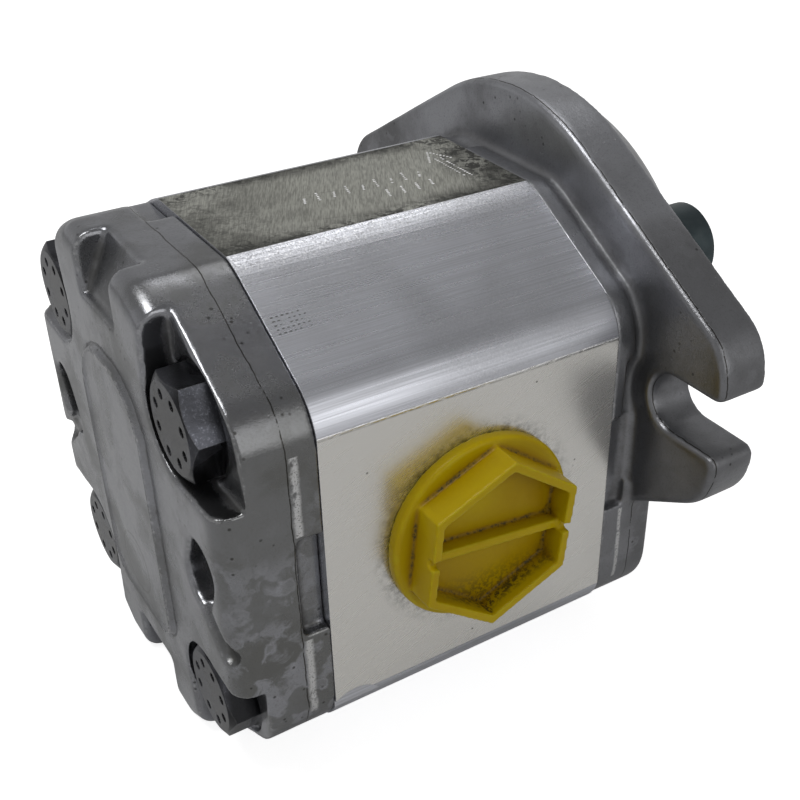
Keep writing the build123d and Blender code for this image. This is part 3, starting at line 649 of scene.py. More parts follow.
@dataclass(frozen=True)
class BodyFinish(Finish):
    """Extruded aluminium: drawn slopes, a milled top flat and pale milled port faces."""

    extruded: Color = grey(0.74, blue=0.06)
    streak: Color = grey(0.46, blue=0.05)
    milled_top: Color = grey(0.52, olive=0.1)
    top_line: Color = grey(0.2, olive=0.1)
    # Dark colour: smudges and nicks, and painted shade under the lip and around the cap.
    smudge_and_shade: Color = grey(0.06, olive=0.1)
    port: Color = (0.77, 0.755, 0.72, 1.0)
    port_stain: Color = (0.5, 0.49, 0.44, 1.0)
    # Near-white: painted glints in the highlight band, and bare metal on worn edges, scratches and the burr
    # lip.
    glint_and_bare_metal: Color = grey(0.92)
    speckled_reach: float = 9.0 * MM
    smudged_rear: float = 26.0 * MM
    smudged_front: float = 11.0 * MM
    smudged_border: float = 5.0 * MM
    mill_turn: float = math.radians(-62)
    port_mill_turn: float = math.radians(24)
    grime_and_shade_radius: float = 22.5 * MM
    cap_radius: float = 18.6 * MM

    def slope(self, pen: Pen, coords: Socket, out: Socket) -> tuple[Socket, Socket, Socket]:
        """Drawn skin of the extrusion.

        Args:
            pen: adds nodes to the material.
            coords: Object coordinates.
            out: distance from the middle plane.

        Returns:
            Colour, roughness and height.
        """
        lines = Brushing().place(pen, coords)
        pepper = Pepper().place(pen, coords, Scale=2700.0)
        marks = Scratches().place(pen, coords, Share=0.66)[0]
        veil = Clouds().place(pen, coords, Scale=34.0, Detail=2.0)[0]
        tone = pen.mix(pen.times(lines["Streak"], 0.75), self.extruded, self.streak)
        tone = pen.layer(tone, self.streak, veil, 0.55)
        flat = LAYOUT.flat_half_width
        near_flat = pen.remap(out, flat + self.speckled_reach, flat + 3 * MM)
        speckled = pen.either(near_flat, pen.times(veil, 0.3))
        # Painted glints: bright and dark grains in the band next to the flat, where the lamps' highlight
        # falls, and thinly in the veil.
        tone = pen.layer(tone, self.glint_and_bare_metal, pepper["Bright"], speckled, 0.75)
        tone = pen.layer(tone, grey(0.24), pepper["Dark"], speckled, 0.65)
        tone = pen.layer(tone, self.glint_and_bare_metal, marks, 0.12)
        rough = pen.remap(lines["Streak"], 0.0, 1.0, 0.26, 0.36)
        height = pen.gain(pen.times(pepper["Dark"], speckled), -0.8, lines["Height"])
        return tone, rough, height

    def top(self, pen: Pen, coords: Socket, out: Socket) -> tuple[Socket, Socket, Socket]:
        """Milled and scuffed flat. Takes and returns the same as slope."""
        x, _, _ = pen.split(coords)
        turned = pen.stretch(coords, (1, 1, 1), (0, 0, self.mill_turn))
        mill = Brushing().place(pen, turned, Fine=4200.0, Coarse=2300.0, Squeeze=0.1)
        smudges = Clouds().place(pen, coords, Scale=70.0, Low=0.42, High=0.56, Detail=6.0)[0]
        flakes = Clouds().place(pen, coords, Scale=420.0, Low=0.46, High=0.56)[0]
        marks = Scratches().place(pen, pen.stretch(coords, (1, 1, 1), (0, 0, 0.3)), Share=0.65)[0]
        flat = LAYOUT.flat_half_width
        rear = pen.remap(x, LAYOUT.rear_seam + self.smudged_rear, LAYOUT.rear_seam + 4 * MM)
        front = pen.remap(x, LAYOUT.front_seam - self.smudged_front, LAYOUT.front_seam - 4 * MM)
        border = pen.remap(out, flat - self.smudged_border, flat - 0.3 * MM)
        corner = pen.times(rear, pen.remap(border, 0.0, 1.0, 0.5, 1.0))
        zone = pen.either(corner, front, pen.times(border, 0.85))
        rim = pen.remap(out, flat - 0.9 * MM, flat - 0.2 * MM)
        tone = pen.mix(pen.times(mill["Streak"], 0.68), self.milled_top, self.top_line)
        tone = pen.layer(tone, self.smudge_and_shade, smudges, pen.remap(zone, 0.0, 1.0, 0.08, 0.95))
        tone = pen.layer(tone, self.smudge_and_shade, flakes, pen.remap(zone, 0.2, 0.8), 0.9)
        tone = pen.layer(tone, self.smudge_and_shade, rim, flakes, 0.7)
        tone = pen.layer(tone, self.smudge_and_shade, marks, 0.5)
        rough = pen.remap(smudges, 0.0, 1.0, 0.44, 0.56)
        height = pen.gain(pen.times(flakes, pen.either(zone, rim)), -4.0, mill["Height"])
        return tone, rough, height

    def port_face(self, pen: Pen, coords: Socket) -> tuple[Socket, Socket, Socket]:
        """Satin milled face around a port. Returns the same as slope."""
        x, _, z = pen.split(coords)
        turned = pen.stretch(coords, (1, 1, 1), (0, self.port_mill_turn, 0))
        lines = Brushing().place(pen, turned, Fine=2600.0, Coarse=500.0, Squeeze=0.03)
        marks = Scratches().place(pen, turned, Scale=330.0, Share=0.64)[0]
        nicks = Specks().place(pen, coords, Scale=330.0, Size=0.09)[0]
        away_x = pen.math("SUBTRACT", x, LAYOUT.middle_x)
        away_z = pen.math("SUBTRACT", z, LAYOUT.middle_z)
        radius = pen.distance(away_x, away_z)
        powder = pen.patches(coords, 900.0, 0.44, 0.6, 4.0, 0.8)
        grime_and_shade = pen.times(pen.remap(radius, self.grime_and_shade_radius, self.cap_radius), powder)
        tone = pen.mix(pen.times(lines["Streak"], 0.02), self.port, self.port_stain)
        tone = pen.layer(tone, self.port_stain, marks, 0.12)
        tone = pen.layer(tone, self.smudge_and_shade, nicks, 0.8)
        # Grainy dark ring around the cap's foot: partly grime, partly painted contact shade.
        tone = pen.layer(tone, self.smudge_and_shade, grime_and_shade, 0.6)
        lip = pen.band(away_z, LAYOUT.port_edge - 0.1 * MM, 0.2 * MM, 0.12 * MM)
        shadow_under_lip = pen.band(away_z, LAYOUT.port_edge - 0.5 * MM, 0.1 * MM, 0.12 * MM)
        ragged = pen.remap(pen.noise(pen.stretch(coords, (0.4, 1, 1)), 1200.0, 3.0, 0.7), 0.36, 0.5)
        # Painted shadow: a dark ragged line just under the burr lip.
        tone = pen.layer(tone, self.smudge_and_shade, shadow_under_lip, ragged, 0.5)
        tone = pen.layer(tone, self.glint_and_bare_metal, lip, ragged)
        height = pen.gain(pen.times(lip, ragged), 6.0, pen.times(lines["Height"], 0.07))
        rough = pen.remap(lines["Streak"], 0.0, 1.0, 0.25, 0.28)
        return tone, rough, pen.gain(marks, -0.08, height)

    def build(self) -> bpy.types.Material:
        """Makes the material."""
        material, pen, shader = self.start()
        coords = pen.coords()
        _, y, z = pen.split(coords)
        out = pen.math("ABSOLUTE", y)
        high = pen.math("ABSOLUTE", pen.math("SUBTRACT", z, LAYOUT.middle_z))
        half_height = (LAYOUT.top - LAYOUT.bottom) / 2
        on_port = pen.math("GREATER_THAN", out, LAYOUT.half_width - 0.02 * MM)
        on_flat = pen.math("GREATER_THAN", high, half_height - 0.02 * MM)
        rounding = Rounding().place(pen, coords, Radius=0.25 * MM)
        worn = Wear().place(pen, coords, Edge=rounding["Edge"])[0]
        tone, rough, height = self.slope(pen, coords, out)
        zones = ((on_flat, self.top(pen, coords, out)), (on_port, self.port_face(pen, coords)))
        for mask, zone in zones:
            tone = pen.mix(mask, tone, zone[0])
            rough = pen.mix(mask, rough, zone[1])
            height = pen.mix(mask, height, zone[2])
        pen.feed(shader.inputs["Base Color"], pen.mix(pen.times(worn, 0.2), tone, self.glint_and_bare_metal))
        pen.feed(shader.inputs["Roughness"], rough)
        shader.inputs["Metallic"].default_value = 0.93
        pen.feed(shader.inputs["Normal"], pen.bump(height, 0.012 * MM, rounding["Normal"]))
        return material


@dataclass(frozen=True)
class SteelFinish(Finish):
    """Dark or bright steel with worn edges and painted glints."""

    base: Color
    worn: Color
    dust: Color
    roughness: float = 0.35
    wear: float = 0.6
    glint_and_bare_metal: float = 0.3
    round_radius: float = 0.3 * MM

    def build(self) -> bpy.types.Material:
        """Makes the material."""
        material, pen, shader = self.start()
        coords = pen.coords()
        grain = Grain().place(pen, coords, Scale=3600.0)
        pepper = Pepper().place(pen, coords, Scale=2600.0)
        rounding = Rounding().place(pen, coords, Radius=self.round_radius)
        worn = Wear().place(pen, coords, Edge=rounding["Edge"], Breakup=1500.0)[0]
        patch = pen.patches(coords, 120.0, 0.45, 0.6, 3.0)
        tone = pen.mix(pen.times(patch, 0.5), self.base, self.dust)
        # Painted glints: bright grains of the worn colour in the dusty patches.
        tone = pen.layer(tone, self.worn, pepper["Bright"], patch, self.glint_and_bare_metal)
        tone = pen.layer(tone, self.worn, worn, self.wear)
        pen.feed(shader.inputs["Base Color"], tone)
        rough = pen.remap(patch, 0.0, 1.0, self.roughness - 0.05, self.roughness + 0.1)
        pen.feed(shader.inputs["Roughness"], rough)
        shader.inputs["Metallic"].default_value = 0.9
        pen.feed(shader.inputs["Normal"], pen.bump(grain["Height"], 0.02 * MM, rounding["Normal"]))
        return material


@dataclass(frozen=True)
class BoltFinish(Finish):
    """Black bolt with a greyer, oily head face, grey patches, and one flat, the one facing up and forward,
    painted lighter with glints as a painted highlight.
    """

    black: Color = grey(0.025, blue=0.06)
    face: Color = grey(0.055, olive=0.04)
    speckle: Color = grey(0.42, blue=0.12)
    lit_flat_normal: Point = (0.0, -0.809, 0.588)

    def build(self) -> bpy.types.Material:
        """Makes the material."""
        material, pen, shader = self.start()
        coords = pen.coords()
        x, _, _ = pen.split(coords)
        pepper = Pepper().place(pen, coords, Scale=1900.0)
        rounding = Rounding().place(pen, coords, Radius=0.35 * MM)
        worn = Wear().place(pen, coords, Edge=rounding["Edge"], Breakup=1500.0)[0]
        on_face = pen.math("LESS_THAN", x, LAYOUT.back + 0.55 * MM)
        normal = pen.add("ShaderNodeNewGeometry").outputs["Normal"]
        # Painted highlight: the flat facing up and forward, towards the lamps, is made lighter and speckled
        # with glints.
        lit_flat_mask = pen.remap(pen.vector("DOT_PRODUCT", normal, self.lit_flat_normal)["Value"], 0.996, 0.999)
        cloud = pen.patches(coords, 75.0, 0.44, 0.52, 2.0)
        patch = pen.either(lit_flat_mask, pen.times(cloud, 0.35))
        tone = pen.mix(on_face, self.black, self.face)
        grains = pen.gain(pepper["Bright"], 0.4, 0.35)
        # Grey speckle on the lit flat is painted highlight with glints; on the random patches it is the
        # head's own patchy finish.
        tone = pen.layer(tone, self.speckle, patch, grains, pen.remap(cloud, 0.0, 1.0, 0.35, 0.75))
        tone = pen.layer(tone, self.black, pepper["Dark"], on_face, 0.4)
        tone = pen.layer(tone, grey(0.4), worn, 0.3)
        pen.feed(shader.inputs["Base Color"], tone)
        pen.feed(shader.inputs["Roughness"], pen.remap(patch, 0.0, 1.0, 0.24, 0.36))
        shader.inputs["Metallic"].default_value = 0.92
        pen.feed(shader.inputs["Normal"], pen.bump(pepper["Dark"], 0.012 * MM, rounding["Normal"]))
        return material


@dataclass(frozen=True)
class PlasticFinish(Finish):
    """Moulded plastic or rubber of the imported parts."""

    base: Color = grey(0.02)
    edge: Color = grey(0.05)
    roughness: float = 0.5

    def build(self) -> bpy.types.Material:
        """Makes the material."""
        material, pen, shader = self.start()
        coords = pen.coords()
        rounding = Rounding().place(pen, coords, Radius=0.2 * MM)
        specks = Specks().place(pen, coords, Scale=900.0, Size=0.2)[0]
        tone = pen.mix(pen.times(rounding["Edge"], 0.5), self.base, self.edge)
        pen.feed(shader.inputs["Base Color"], pen.mix(pen.times(specks, 0.5), tone, self.edge))
        shader.inputs["Roughness"].default_value = self.roughness
        swell = pen.noise(coords, 900.0, 3.0, 0.5)
        pen.feed(shader.inputs["Normal"], pen.bump(swell, 0.02 * MM, rounding["Normal"]))
        return material


@dataclass(frozen=True)
class CapFinish(Finish):
    """Yellow moulded cap, painted deeper in its hollows as shade, with black dust and painted shade in its
    corners.
    """

    base: Color = (0.44, 0.315, 0.001, 1.0)
    deep: Color = (0.3, 0.165, 0.0, 1.0)
    edge: Color = (0.46, 0.4, 0.01, 1.0)
    # Near-black: dust, and painted shade in the corners.
    grime_and_shade: Color = (0.05, 0.04, 0.012, 1.0)
    dusty_from: float = 7.0 * MM
    dusty_below: float = 12.5 * MM
    disc_out: float = 46.0 * MM
    head_out: float = 51.0 * MM

    def build(self) -> bpy.types.Material:
        """Makes the material."""
        material, pen, shader = self.start()
        coords = pen.coords()
        _, y, z = pen.split(coords)
        cloud = Clouds().place(pen, coords, Scale=70.0)[0]
        hollow = pen.attribute("hollow")
        dust = pen.patches(coords, 1300.0, 0.56, 0.46, 3.0, 0.7)
        corners = DirtAndShade().place(pen, coords, Hollow=hollow, Low=0.6, High=1.1, Breakup=700.0)[0]
        worn = Wear().place(pen, coords, Edge=pen.attribute("edge"), Breakup=300.0)[0]
        low = pen.remap(z, LAYOUT.middle_z - self.dusty_from, LAYOUT.middle_z - self.dusty_below)
        outer = pen.remap(pen.math("ABSOLUTE", y), self.disc_out, self.head_out)
        tone = pen.mix(pen.times(cloud, 0.2), self.base, self.deep)
        # Painted shade: the yellow turns deeper orange in the hollows.
        tone = pen.mix(pen.remap(hollow, 0.05, 0.7, 0.0, 0.85), tone, self.deep)
        tone = pen.layer(tone, self.edge, worn, 0.45)
        powder = pen.times(pen.gain(low, 0.95, 0.05), pen.remap(hollow, 0.03, 0.25), dust)
        # Near-black in the corners: dust, and a film that is painted shade in the hollows.
        film, dots = pen.times(corners, 0.4), pen.times(corners, dust)
        grime_and_shade = pen.either(film, pen.times(powder, outer), dots)
        tone = pen.mix(grime_and_shade, tone, self.grime_and_shade)
        pen.feed(shader.inputs["Base Color"], tone)
        pen.feed(shader.inputs["Roughness"], pen.remap(cloud, 0.0, 1.0, 0.3, 0.42))
        shader.inputs["Specular IOR Level"].default_value = 0.15
        shader.inputs["Subsurface Weight"].default_value = 0.1
        shader.inputs["Subsurface Radius"].default_value = (2 * MM, 1.4 * MM, 0.2 * MM)
        swell = pen.noise(coords, 500.0, 3.0, 0.5)
        pen.feed(shader.inputs["Normal"], pen.bump(swell, 0.05 * MM))
        return material


@dataclass(frozen=True)
class FloorFinish(Finish):
    """Pale studio floor that keeps a soft shadow."""

    color: Color = (0.72, 0.72, 0.72, 1.0)
    lift: float = 0.8

    def build(self) -> bpy.types.Material:
        """Makes the material: brighter to the camera than as a light source."""
        material, pen, shader = self.start()
        coords = pen.coords()
        cloud = pen.remap(pen.noise(coords, 3.0, 2.0), 0.0, 1.0, 0.985, 1.0)
        pen.feed(shader.inputs["Base Color"], pen.mix(1.0, self.color, cloud, "MULTIPLY"))
        shader.inputs["Roughness"].default_value = 0.95
        shader.inputs["Specular IOR Level"].default_value = 0.0
        seen = pen.add("ShaderNodeLightPath").outputs["Is Camera Ray"]
        shader.inputs["Emission Color"].default_value = (1, 1, 1, 1)
        pen.feed(shader.inputs["Emission Strength"], pen.math("MULTIPLY", seen, self.lift))
        return material


class Meshes:
    """Short mesh steps that several pieces share."""

    @staticmethod
    def node_copy(node: str, name: str) -> bpy.types.Object:
        """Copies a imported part's mesh and merges its loose triangles.

        Args:
            node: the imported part.
            name: name of the new object.

        Returns:
            The new object, at the origin.
        """
        work = bmesh.new()
        work.from_mesh(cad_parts[node].data)
        bmesh.ops.remove_doubles(work, verts=work.verts, dist=0.0005 * MM)
        mesh = bpy.data.meshes.new(name)
        work.to_mesh(mesh)
        work.free()
        return Meshes.show(mesh, name)

    @staticmethod
    def show(mesh: bpy.types.Mesh, name: str) -> bpy.types.Object:
        """Puts a mesh into the scene as an object."""
        piece = bpy.data.objects.new(name, mesh)
        bpy.context.scene.collection.objects.link(piece)
        return piece

    @staticmethod
    def settle(piece: bpy.types.Object) -> None:
        """Turns an object's modifiers into plain mesh."""
        bpy.context.view_layer.update()
        seen = piece.evaluated_get(bpy.context.evaluated_depsgraph_get())
        mesh = bpy.data.meshes.new_from_object(seen)
        piece.modifiers.clear()
        piece.data = mesh

    @staticmethod
    def points(mesh: bpy.types.Mesh) -> np.ndarray:
        """The mesh's corners, one row each."""
        flat = np.empty(len(mesh.vertices) * 3)
        mesh.vertices.foreach_get("co", flat)
        return flat.reshape(-1, 3)

    @staticmethod
    def normals(mesh: bpy.types.Mesh) -> np.ndarray:
        """The corners' normals, one row each."""
        flat = np.empty(len(mesh.vertices) * 3)
        mesh.vertices.foreach_get("normal", flat)
        return flat.reshape(-1, 3)

    @staticmethod
    def softened(mesh: bpy.types.Mesh, points: np.ndarray, weight: object, passes: int) -> np.ndarray:
        """Moves each corner towards the mean of its neighbours.

        Args:
            mesh: the mesh that says which corners are neighbours.
            points: places of the corners.
            weight: how far each corner may follow, from 0 to 1.
            passes: number of rounds.

        Returns:
            The new places.
        """
        count = len(points)
        ends = np.empty(len(mesh.edges) * 2, np.int64)
        mesh.edges.foreach_get("vertices", ends)
        first, second = ends[0::2], ends[1::2]
        degree = np.maximum(np.bincount(first, minlength=count) + np.bincount(second, minlength=count), 1)
        step = (0.5 * weight * np.ones(count) / degree)[:, None]
        points = points.copy()
        for _ in range(passes):
            total = np.stack([
                np.bincount(first, column[second], count) + np.bincount(second, column[first], count)
                for column in points.T
            ], axis=1)
            points += step * (total - degree[:, None] * points)
        return points

    @staticmethod
    def bulge(mesh: bpy.types.Mesh, passes: int) -> np.ndarray:
        """How far each corner stands out of its surroundings, in metres."""
        points = Meshes.points(mesh)
        away = points - Meshes.softened(mesh, points, 1.0, passes)
        return (away * Meshes.normals(mesh)).sum(axis=1)

    @staticmethod
    def place(mesh: bpy.types.Mesh, points: np.ndarray) -> None:
        """Puts the mesh's corners at new places."""
        mesh.vertices.foreach_set("co", points.ravel())
        mesh.update()

    @staticmethod
    def carry(mesh: bpy.types.Mesh, places: np.ndarray, values: dict[str, np.ndarray]) -> None:
        """Stores numbers on a mesh, each taken from the nearest of some places.

        Args:
            mesh: the mesh that keeps them.
            places: where the numbers were found.
            values: the numbers, by the name they are kept under.
        """
        near = kdtree.KDTree(len(places))
        for index, place in enumerate(places):
            near.insert(place, index)
        near.balance()
        found = np.array([near.find(corner.co)[1] for corner in mesh.vertices])
        for name, numbers in values.items():
            kept = mesh.attributes.new(name, "FLOAT", "POINT")
            kept.data.foreach_set("value", np.ascontiguousarray(numbers[found], np.float32))

    @staticmethod
    def smooth(mesh: bpy.types.Mesh) -> None:
        """Shades every face smooth."""
        mesh.polygons.foreach_set("use_smooth", np.ones(len(mesh.polygons), bool))
        mesh.update()


@dataclass
class SoftCopy:
    """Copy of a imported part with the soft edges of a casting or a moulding."""

    node: str
    name: str
    body: str
    slot: str
    finish: Finish
    voxel: float
    passes: int
    most_faces: int = 180000
    swell: float = 0.0
    edge_size: float = 0.14 * MM
    hollow_size: float = 0.5 * MM

    def firmness(self, points: np.ndarray) -> np.ndarray:
        """How far each corner may be softened, from 0 on a machined face to 1 on a cast one."""
        return np.ones(len(points))

    def carve(self, points: np.ndarray) -> np.ndarray:
        """Moves corners for the small forms of the piece. The plain copy has none."""
        return points

    def wobble(self, points: np.ndarray, normals: np.ndarray, weight: np.ndarray) -> np.ndarray:
        """Gives the skin the slight unevenness of a casting."""
        scale = 1 / (9 * MM)
        swell = np.array([noise.noise(Vector(p) * scale) for p in points])
        return points + normals * (self.swell * weight * swell)[:, None]

    def build(self) -> bpy.types.Object:
        """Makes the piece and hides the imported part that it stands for.

        Returns:
            The finished piece.
        """
        piece = Meshes.node_copy(self.node, self.name)
        grid = piece.modifiers.new("even", "REMESH")
        grid.mode = "VOXEL"
        grid.voxel_size = self.voxel * 1.0
        Meshes.settle(piece)
        mesh = piece.data
        points = Meshes.points(mesh)
        weight = self.firmness(points)
        Meshes.place(mesh, self.carve(Meshes.softened(mesh, points, weight, self.passes)))
        values = {
            "edge": np.clip(Meshes.bulge(mesh, 8) / self.edge_size, 0, 1),
            "hollow": np.clip(-Meshes.bulge(mesh, 80) / self.hollow_size, 0, 1),
        }
        if self.swell:
            Meshes.place(mesh, self.wobble(Meshes.points(mesh), Meshes.normals(mesh), weight))
        places = Meshes.points(mesh)
        faces = sum(len(p.vertices) - 2 for p in mesh.polygons)
        if faces > self.most_faces:
            thin = piece.modifiers.new("thin", "DECIMATE")
            thin.ratio = self.most_faces / faces
            thin.use_collapse_triangulate = True
            Meshes.settle(piece)
        Meshes.carry(piece.data, places, values)
        Meshes.smooth(piece.data)
        piece.data.materials.clear()
        piece.data.materials.append(self.finish.build())
        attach(piece, self.body)
        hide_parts(self.node)
        log.info("%s: %d faces", self.name, len(piece.data.polygons))
        return piece


@dataclass
class RearCover(SoftCopy):
    """Die-cast rear cover."""

    panel_half_width: float = 15.0 * MM
    panel_half_height: float = 28.8 * MM
    panel_top_radius: float = 12.5 * MM
    panel_bottom_radius: float = 6.0 * MM
    bead_height: float = 0.4 * MM
    groove_depth: float = 0.32 * MM

    def from_panel(self, points: np.ndarray) -> np.ndarray:
        """Distance to the panel's outline, below 0 inside it."""
        height = points[:, 2] - LAYOUT.middle_z
        radius = np.where(height > 0, self.panel_top_radius, self.panel_bottom_radius)
        wide = np.abs(points[:, 1]) - (self.panel_half_width - radius)
        high = np.abs(height) - (self.panel_half_height - radius)
        corner = np.hypot(np.maximum(wide, 0), np.maximum(high, 0))
        return corner + np.minimum(np.maximum(wide, high), 0) - radius

    def on_back(self, points: np.ndarray) -> np.ndarray:
        """1 on the back face and the panel, fading out ahead of them."""
        return np.clip((LAYOUT.back + 2.4 * MM - points[:, 0]) / (0.6 * MM), 0, 1)

    def firmness(self, points: np.ndarray) -> np.ndarray:
        """Keeps the machined seam face and the panel's outline."""
        seam = np.clip((LAYOUT.rear_seam - points[:, 0]) / (1.2 * MM), 0.3, 1.0)
        outline = np.clip(np.abs(self.from_panel(points)) / (1.8 * MM), 0.3, 1.0)
        return seam * np.where(self.on_back(points) > 0, outline, 1.0)

    def carve(self, points: np.ndarray) -> np.ndarray:
        """Draws a bead inside the panel's outline and a groove outside it."""
        away = self.from_panel(points)
        bead = self.bead_height * np.exp(-((away + 0.55 * MM) / (0.4 * MM)) ** 2)
        groove = self.groove_depth * np.exp(-((away - 0.6 * MM) / (0.45 * MM)) ** 2)
        carved = points.copy()
        carved[:, 0] -= (bead - groove) * self.on_back(points)
        return carved


@dataclass
class MountingFlange(SoftCopy):
    """Die-cast front cover with the two-eared flange."""

    bore_radius: float = 20.0 * MM
    pilot_radius: float = 41.275 * MM

    def firmness(self, points: np.ndarray) -> np.ndarray:
        """Keeps the pilot, the bores and the seam face."""
        from_axis = np.hypot(points[:, 1], points[:, 2])
        pilot = np.clip((from_axis - self.pilot_radius) / (1.0 * MM) - 0.5, 0.3, 1.0)
        front = np.where(points[:, 0] > -0.5 * MM, pilot, 1.0)
        seam = np.clip((points[:, 0] - LAYOUT.front_seam) / (1.2 * MM), 0.4, 1.0)
        bore = np.clip((from_axis - self.bore_radius) / (1.0 * MM), 0.4, 1.0)
        return np.minimum(np.minimum(front, seam), bore)


@dataclass(frozen=True)
class Patch:
    """Flat place on the pump that marks are laid on."""

    centre: Point
    along: Point
    across: Point

    def matrix(self) -> Matrix:
        """Turns marks laid out in a plane onto the patch."""
        along = Vector(self.along).normalized()
        across = Vector(self.across).normalized()
        turn = Matrix((along, across, along.cross(across))).transposed().to_4x4()
        return Matrix.Translation(self.centre) @ turn


class Beads:
    """Small flattened beads on a set of places, scattered with Geometry Nodes."""

    title = "beads"
    sockets = {
        "Geometry": "Geometry", "Size": "Vector", "Kept": "Float", "Uneven": "Float", "Seed": "Int",
        "Material": "Material",
    }

    @classmethod
    def tree(cls) -> bpy.types.NodeTree:
        """The node tree, made at the first call."""
        found = bpy.data.node_groups.get(cls.title)
        if found is not None:
            return found
        tree = bpy.data.node_groups.new(cls.title, "GeometryNodeTree")
        for name, kind in cls.sockets.items():
            tree.interface.new_socket(name, in_out="INPUT", socket_type="NodeSocket" + kind)
        tree.interface.new_socket("Geometry", in_out="OUTPUT", socket_type="NodeSocketGeometry")
        pen = Pen(tree)
        given = tree.nodes.new("NodeGroupInput").outputs
        chance = {6: given["Kept"], 8: given["Seed"]}
        kept = pen.add("FunctionNodeRandomValue", chance, data_type="BOOLEAN")
        least = pen.math("SUBTRACT", 1.0, given["Uneven"])
        reach = {2: least, 3: 1.0, 8: given["Seed"]}
        scale = pen.add("FunctionNodeRandomValue", reach, data_type="FLOAT")
        inputs = {0: given["Size"], "Scale": scale.outputs[1]}
        size = pen.add("ShaderNodeVectorMath", inputs, operation="SCALE").outputs[0]
        ball = pen.add("GeometryNodeMeshIcoSphere", {"Radius": 1.0, "Subdivisions": 2})
        laid = pen.add("GeometryNodeInstanceOnPoints", {
            "Points": given["Geometry"], "Selection": kept.outputs[3], "Instance": ball.outputs[0],
            "Scale": size,
        })
        real = pen.add("GeometryNodeRealizeInstances", {0: laid.outputs[0]})
        finish = {"Geometry": real.outputs[0], "Material": given["Material"]}
        painted = pen.add("GeometryNodeSetMaterial", finish)
        end = tree.nodes.new("NodeGroupOutput")
        tree.links.new(painted.outputs[0], end.inputs[0])
        return tree


@dataclass
class Marks:
    """Group of marks on one patch."""

    name: str
    patch: Patch
    places: list[tuple[float, float]]
    size: Point
    finish: Finish
    kept: float
    uneven: float
    seed: int
    slot: str = "extruded_aluminium"

    def build(self) -> bpy.types.Object:
        """Makes the marks.

        Returns:
            The finished piece, riding on the housing.
        """
        mesh = bpy.data.meshes.new(self.name)
        mesh.from_pydata([(u, v, 0.0) for u, v in self.places], [], [])
        piece = Meshes.show(mesh, self.name)
        tree = Beads.tree()
        change = piece.modifiers.new("beads", "NODES")
        change.node_group = tree
        values = {
            "Size": self.size, "Kept": self.kept, "Uneven": self.uneven, "Seed": self.seed,
            "Material": self.finish.build(),
        }
        for item in tree.interface.items_tree:
            if item.in_out == "INPUT" and item.name in values:
                change[item.identifier] = values[item.name]
        Meshes.settle(piece)
        piece.data.transform(self.patch.matrix())
        Meshes.smooth(piece.data)
        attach(piece, HOUSING)
        log.info("%s: %d faces", self.name, len(piece.data.polygons))
        return piece


@dataclass(frozen=True)
class SurfaceMarks:
    """Dot grid on the slope and plain peened strokes on the top flat."""

    grid_out: float = 29.5 * MM
    grid_start: float = 1.6 * MM
    grid_pitch: tuple[float, float] = (0.95 * MM, 0.85 * MM)
    grid_columns: int = 7
    grid_rows: int = 5
    peen_step: float = 0.8
    peen_start: float = 21.5 * MM

    def dot_grid(self) -> Marks:
        """Grid of small dark dots near the rear seam, without any content."""
        fall = LAYOUT.slope_fall
        height = LAYOUT.top - fall * (self.grid_out - LAYOUT.slope_start)
        corner = (LAYOUT.rear_seam + self.grid_start, -self.grid_out, height)
        pitch_x, pitch_y = self.grid_pitch
        rows = range(-(self.grid_rows // 2), self.grid_rows // 2 + 1)
        places = [(column * pitch_x, row * pitch_y) for column in range(self.grid_columns) for row in rows]
        finish = SteelFinish("dot_ink", base=grey(0.16), dust=grey(0.2), worn=grey(0.3))
        size = (0.32 * MM, 0.17 * MM, 0.02 * MM)
        patch = Patch(corner, (1, 0, 0), (0, 1, fall))
        return Marks("slope_dot_grid", patch, places, size, finish, kept=0.86, uneven=0.45, seed=11)

    def strokes(self) -> list[tuple[float, float]]:
        """Places of the peened dots: rows of strokes and an arrow, each line given in millimetres."""
        lines = []
        for index in range(9):
            left, high = -19.0 + 3.1 * index, 1.9 + 1.3 * (index % 2)
            lines.append(((left, -2.0), (left + 0.8, -2.0 + high)))
        for index in range(4):
            left = -4.0 + 3.2 * index
            lines.append(((left, -7.4), (left + 0.8, -4.6)))
        for shaft in (13.2, 14.5):
            lines.append(((shaft, -7.0), (shaft, 4.0)))
        for barb in (11.4, 16.3):
            lines.append(((barb, 3.2), (13.85, 8.2)))
        places: list[tuple[float, float]] = []
        for start, end in lines:
            count = max(1, round(math.dist(start, end) / self.peen_step))
            for index in range(count + 1):
                share = index / count
                places.append(tuple((a + (b - a) * share) * MM for a, b in zip(start, end)))
        return places

    def peening(self) -> Marks:
        """Bright dots peened into the top flat."""
        patch = Patch((LAYOUT.front_seam - self.peen_start, 0.0, LAYOUT.top), (1, 0, 0), (0, 1, 0))
        finish = PlasticFinish("peened_dots", base=grey(0.95), edge=grey(0.95), roughness=0.3)
        size = (0.33 * MM, 0.33 * MM, 0.05 * MM)
        places = self.strokes()
        return Marks("top_peened_marks", patch, places, size, finish, kept=0.93, uneven=0.35, seed=5)

    def build(self) -> None:
        """Makes both groups of marks."""
        for marks in (self.dot_grid(), self.peening()):
            marks.build()


@dataclass(frozen=True)
class Lamp:
    """Square soft lamp that points at the pump. The side is in metres, the power in watts."""

    name: str
    place: Point
    side: float
    power: float
    target: Point = (-0.04, 0.0, -0.01)

    def hang(self) -> None:
        """Adds the lamp to the scene."""
        data = bpy.data.lights.new(self.name, "AREA")
        data.size = self.side
        data.energy = self.power
        lamp = bpy.data.objects.new(self.name, data)
        lamp.location = self.place
        lamp.rotation_euler = (Vector(self.target) - Vector(self.place)).to_track_quat("-Z", "Y").to_euler()
        bpy.context.scene.collection.objects.link(lamp)


LAMPS = (
    Lamp("side_lamp", (0.08, -0.75, 0.35), 0.6, 1.0),
    Lamp("top_lamp", (-0.3, 0.0, 0.8), 0.35, 2.4),
    Lamp("rear_lamp", (0.27, 0.32, 0.76), 0.3, 0.55),
)


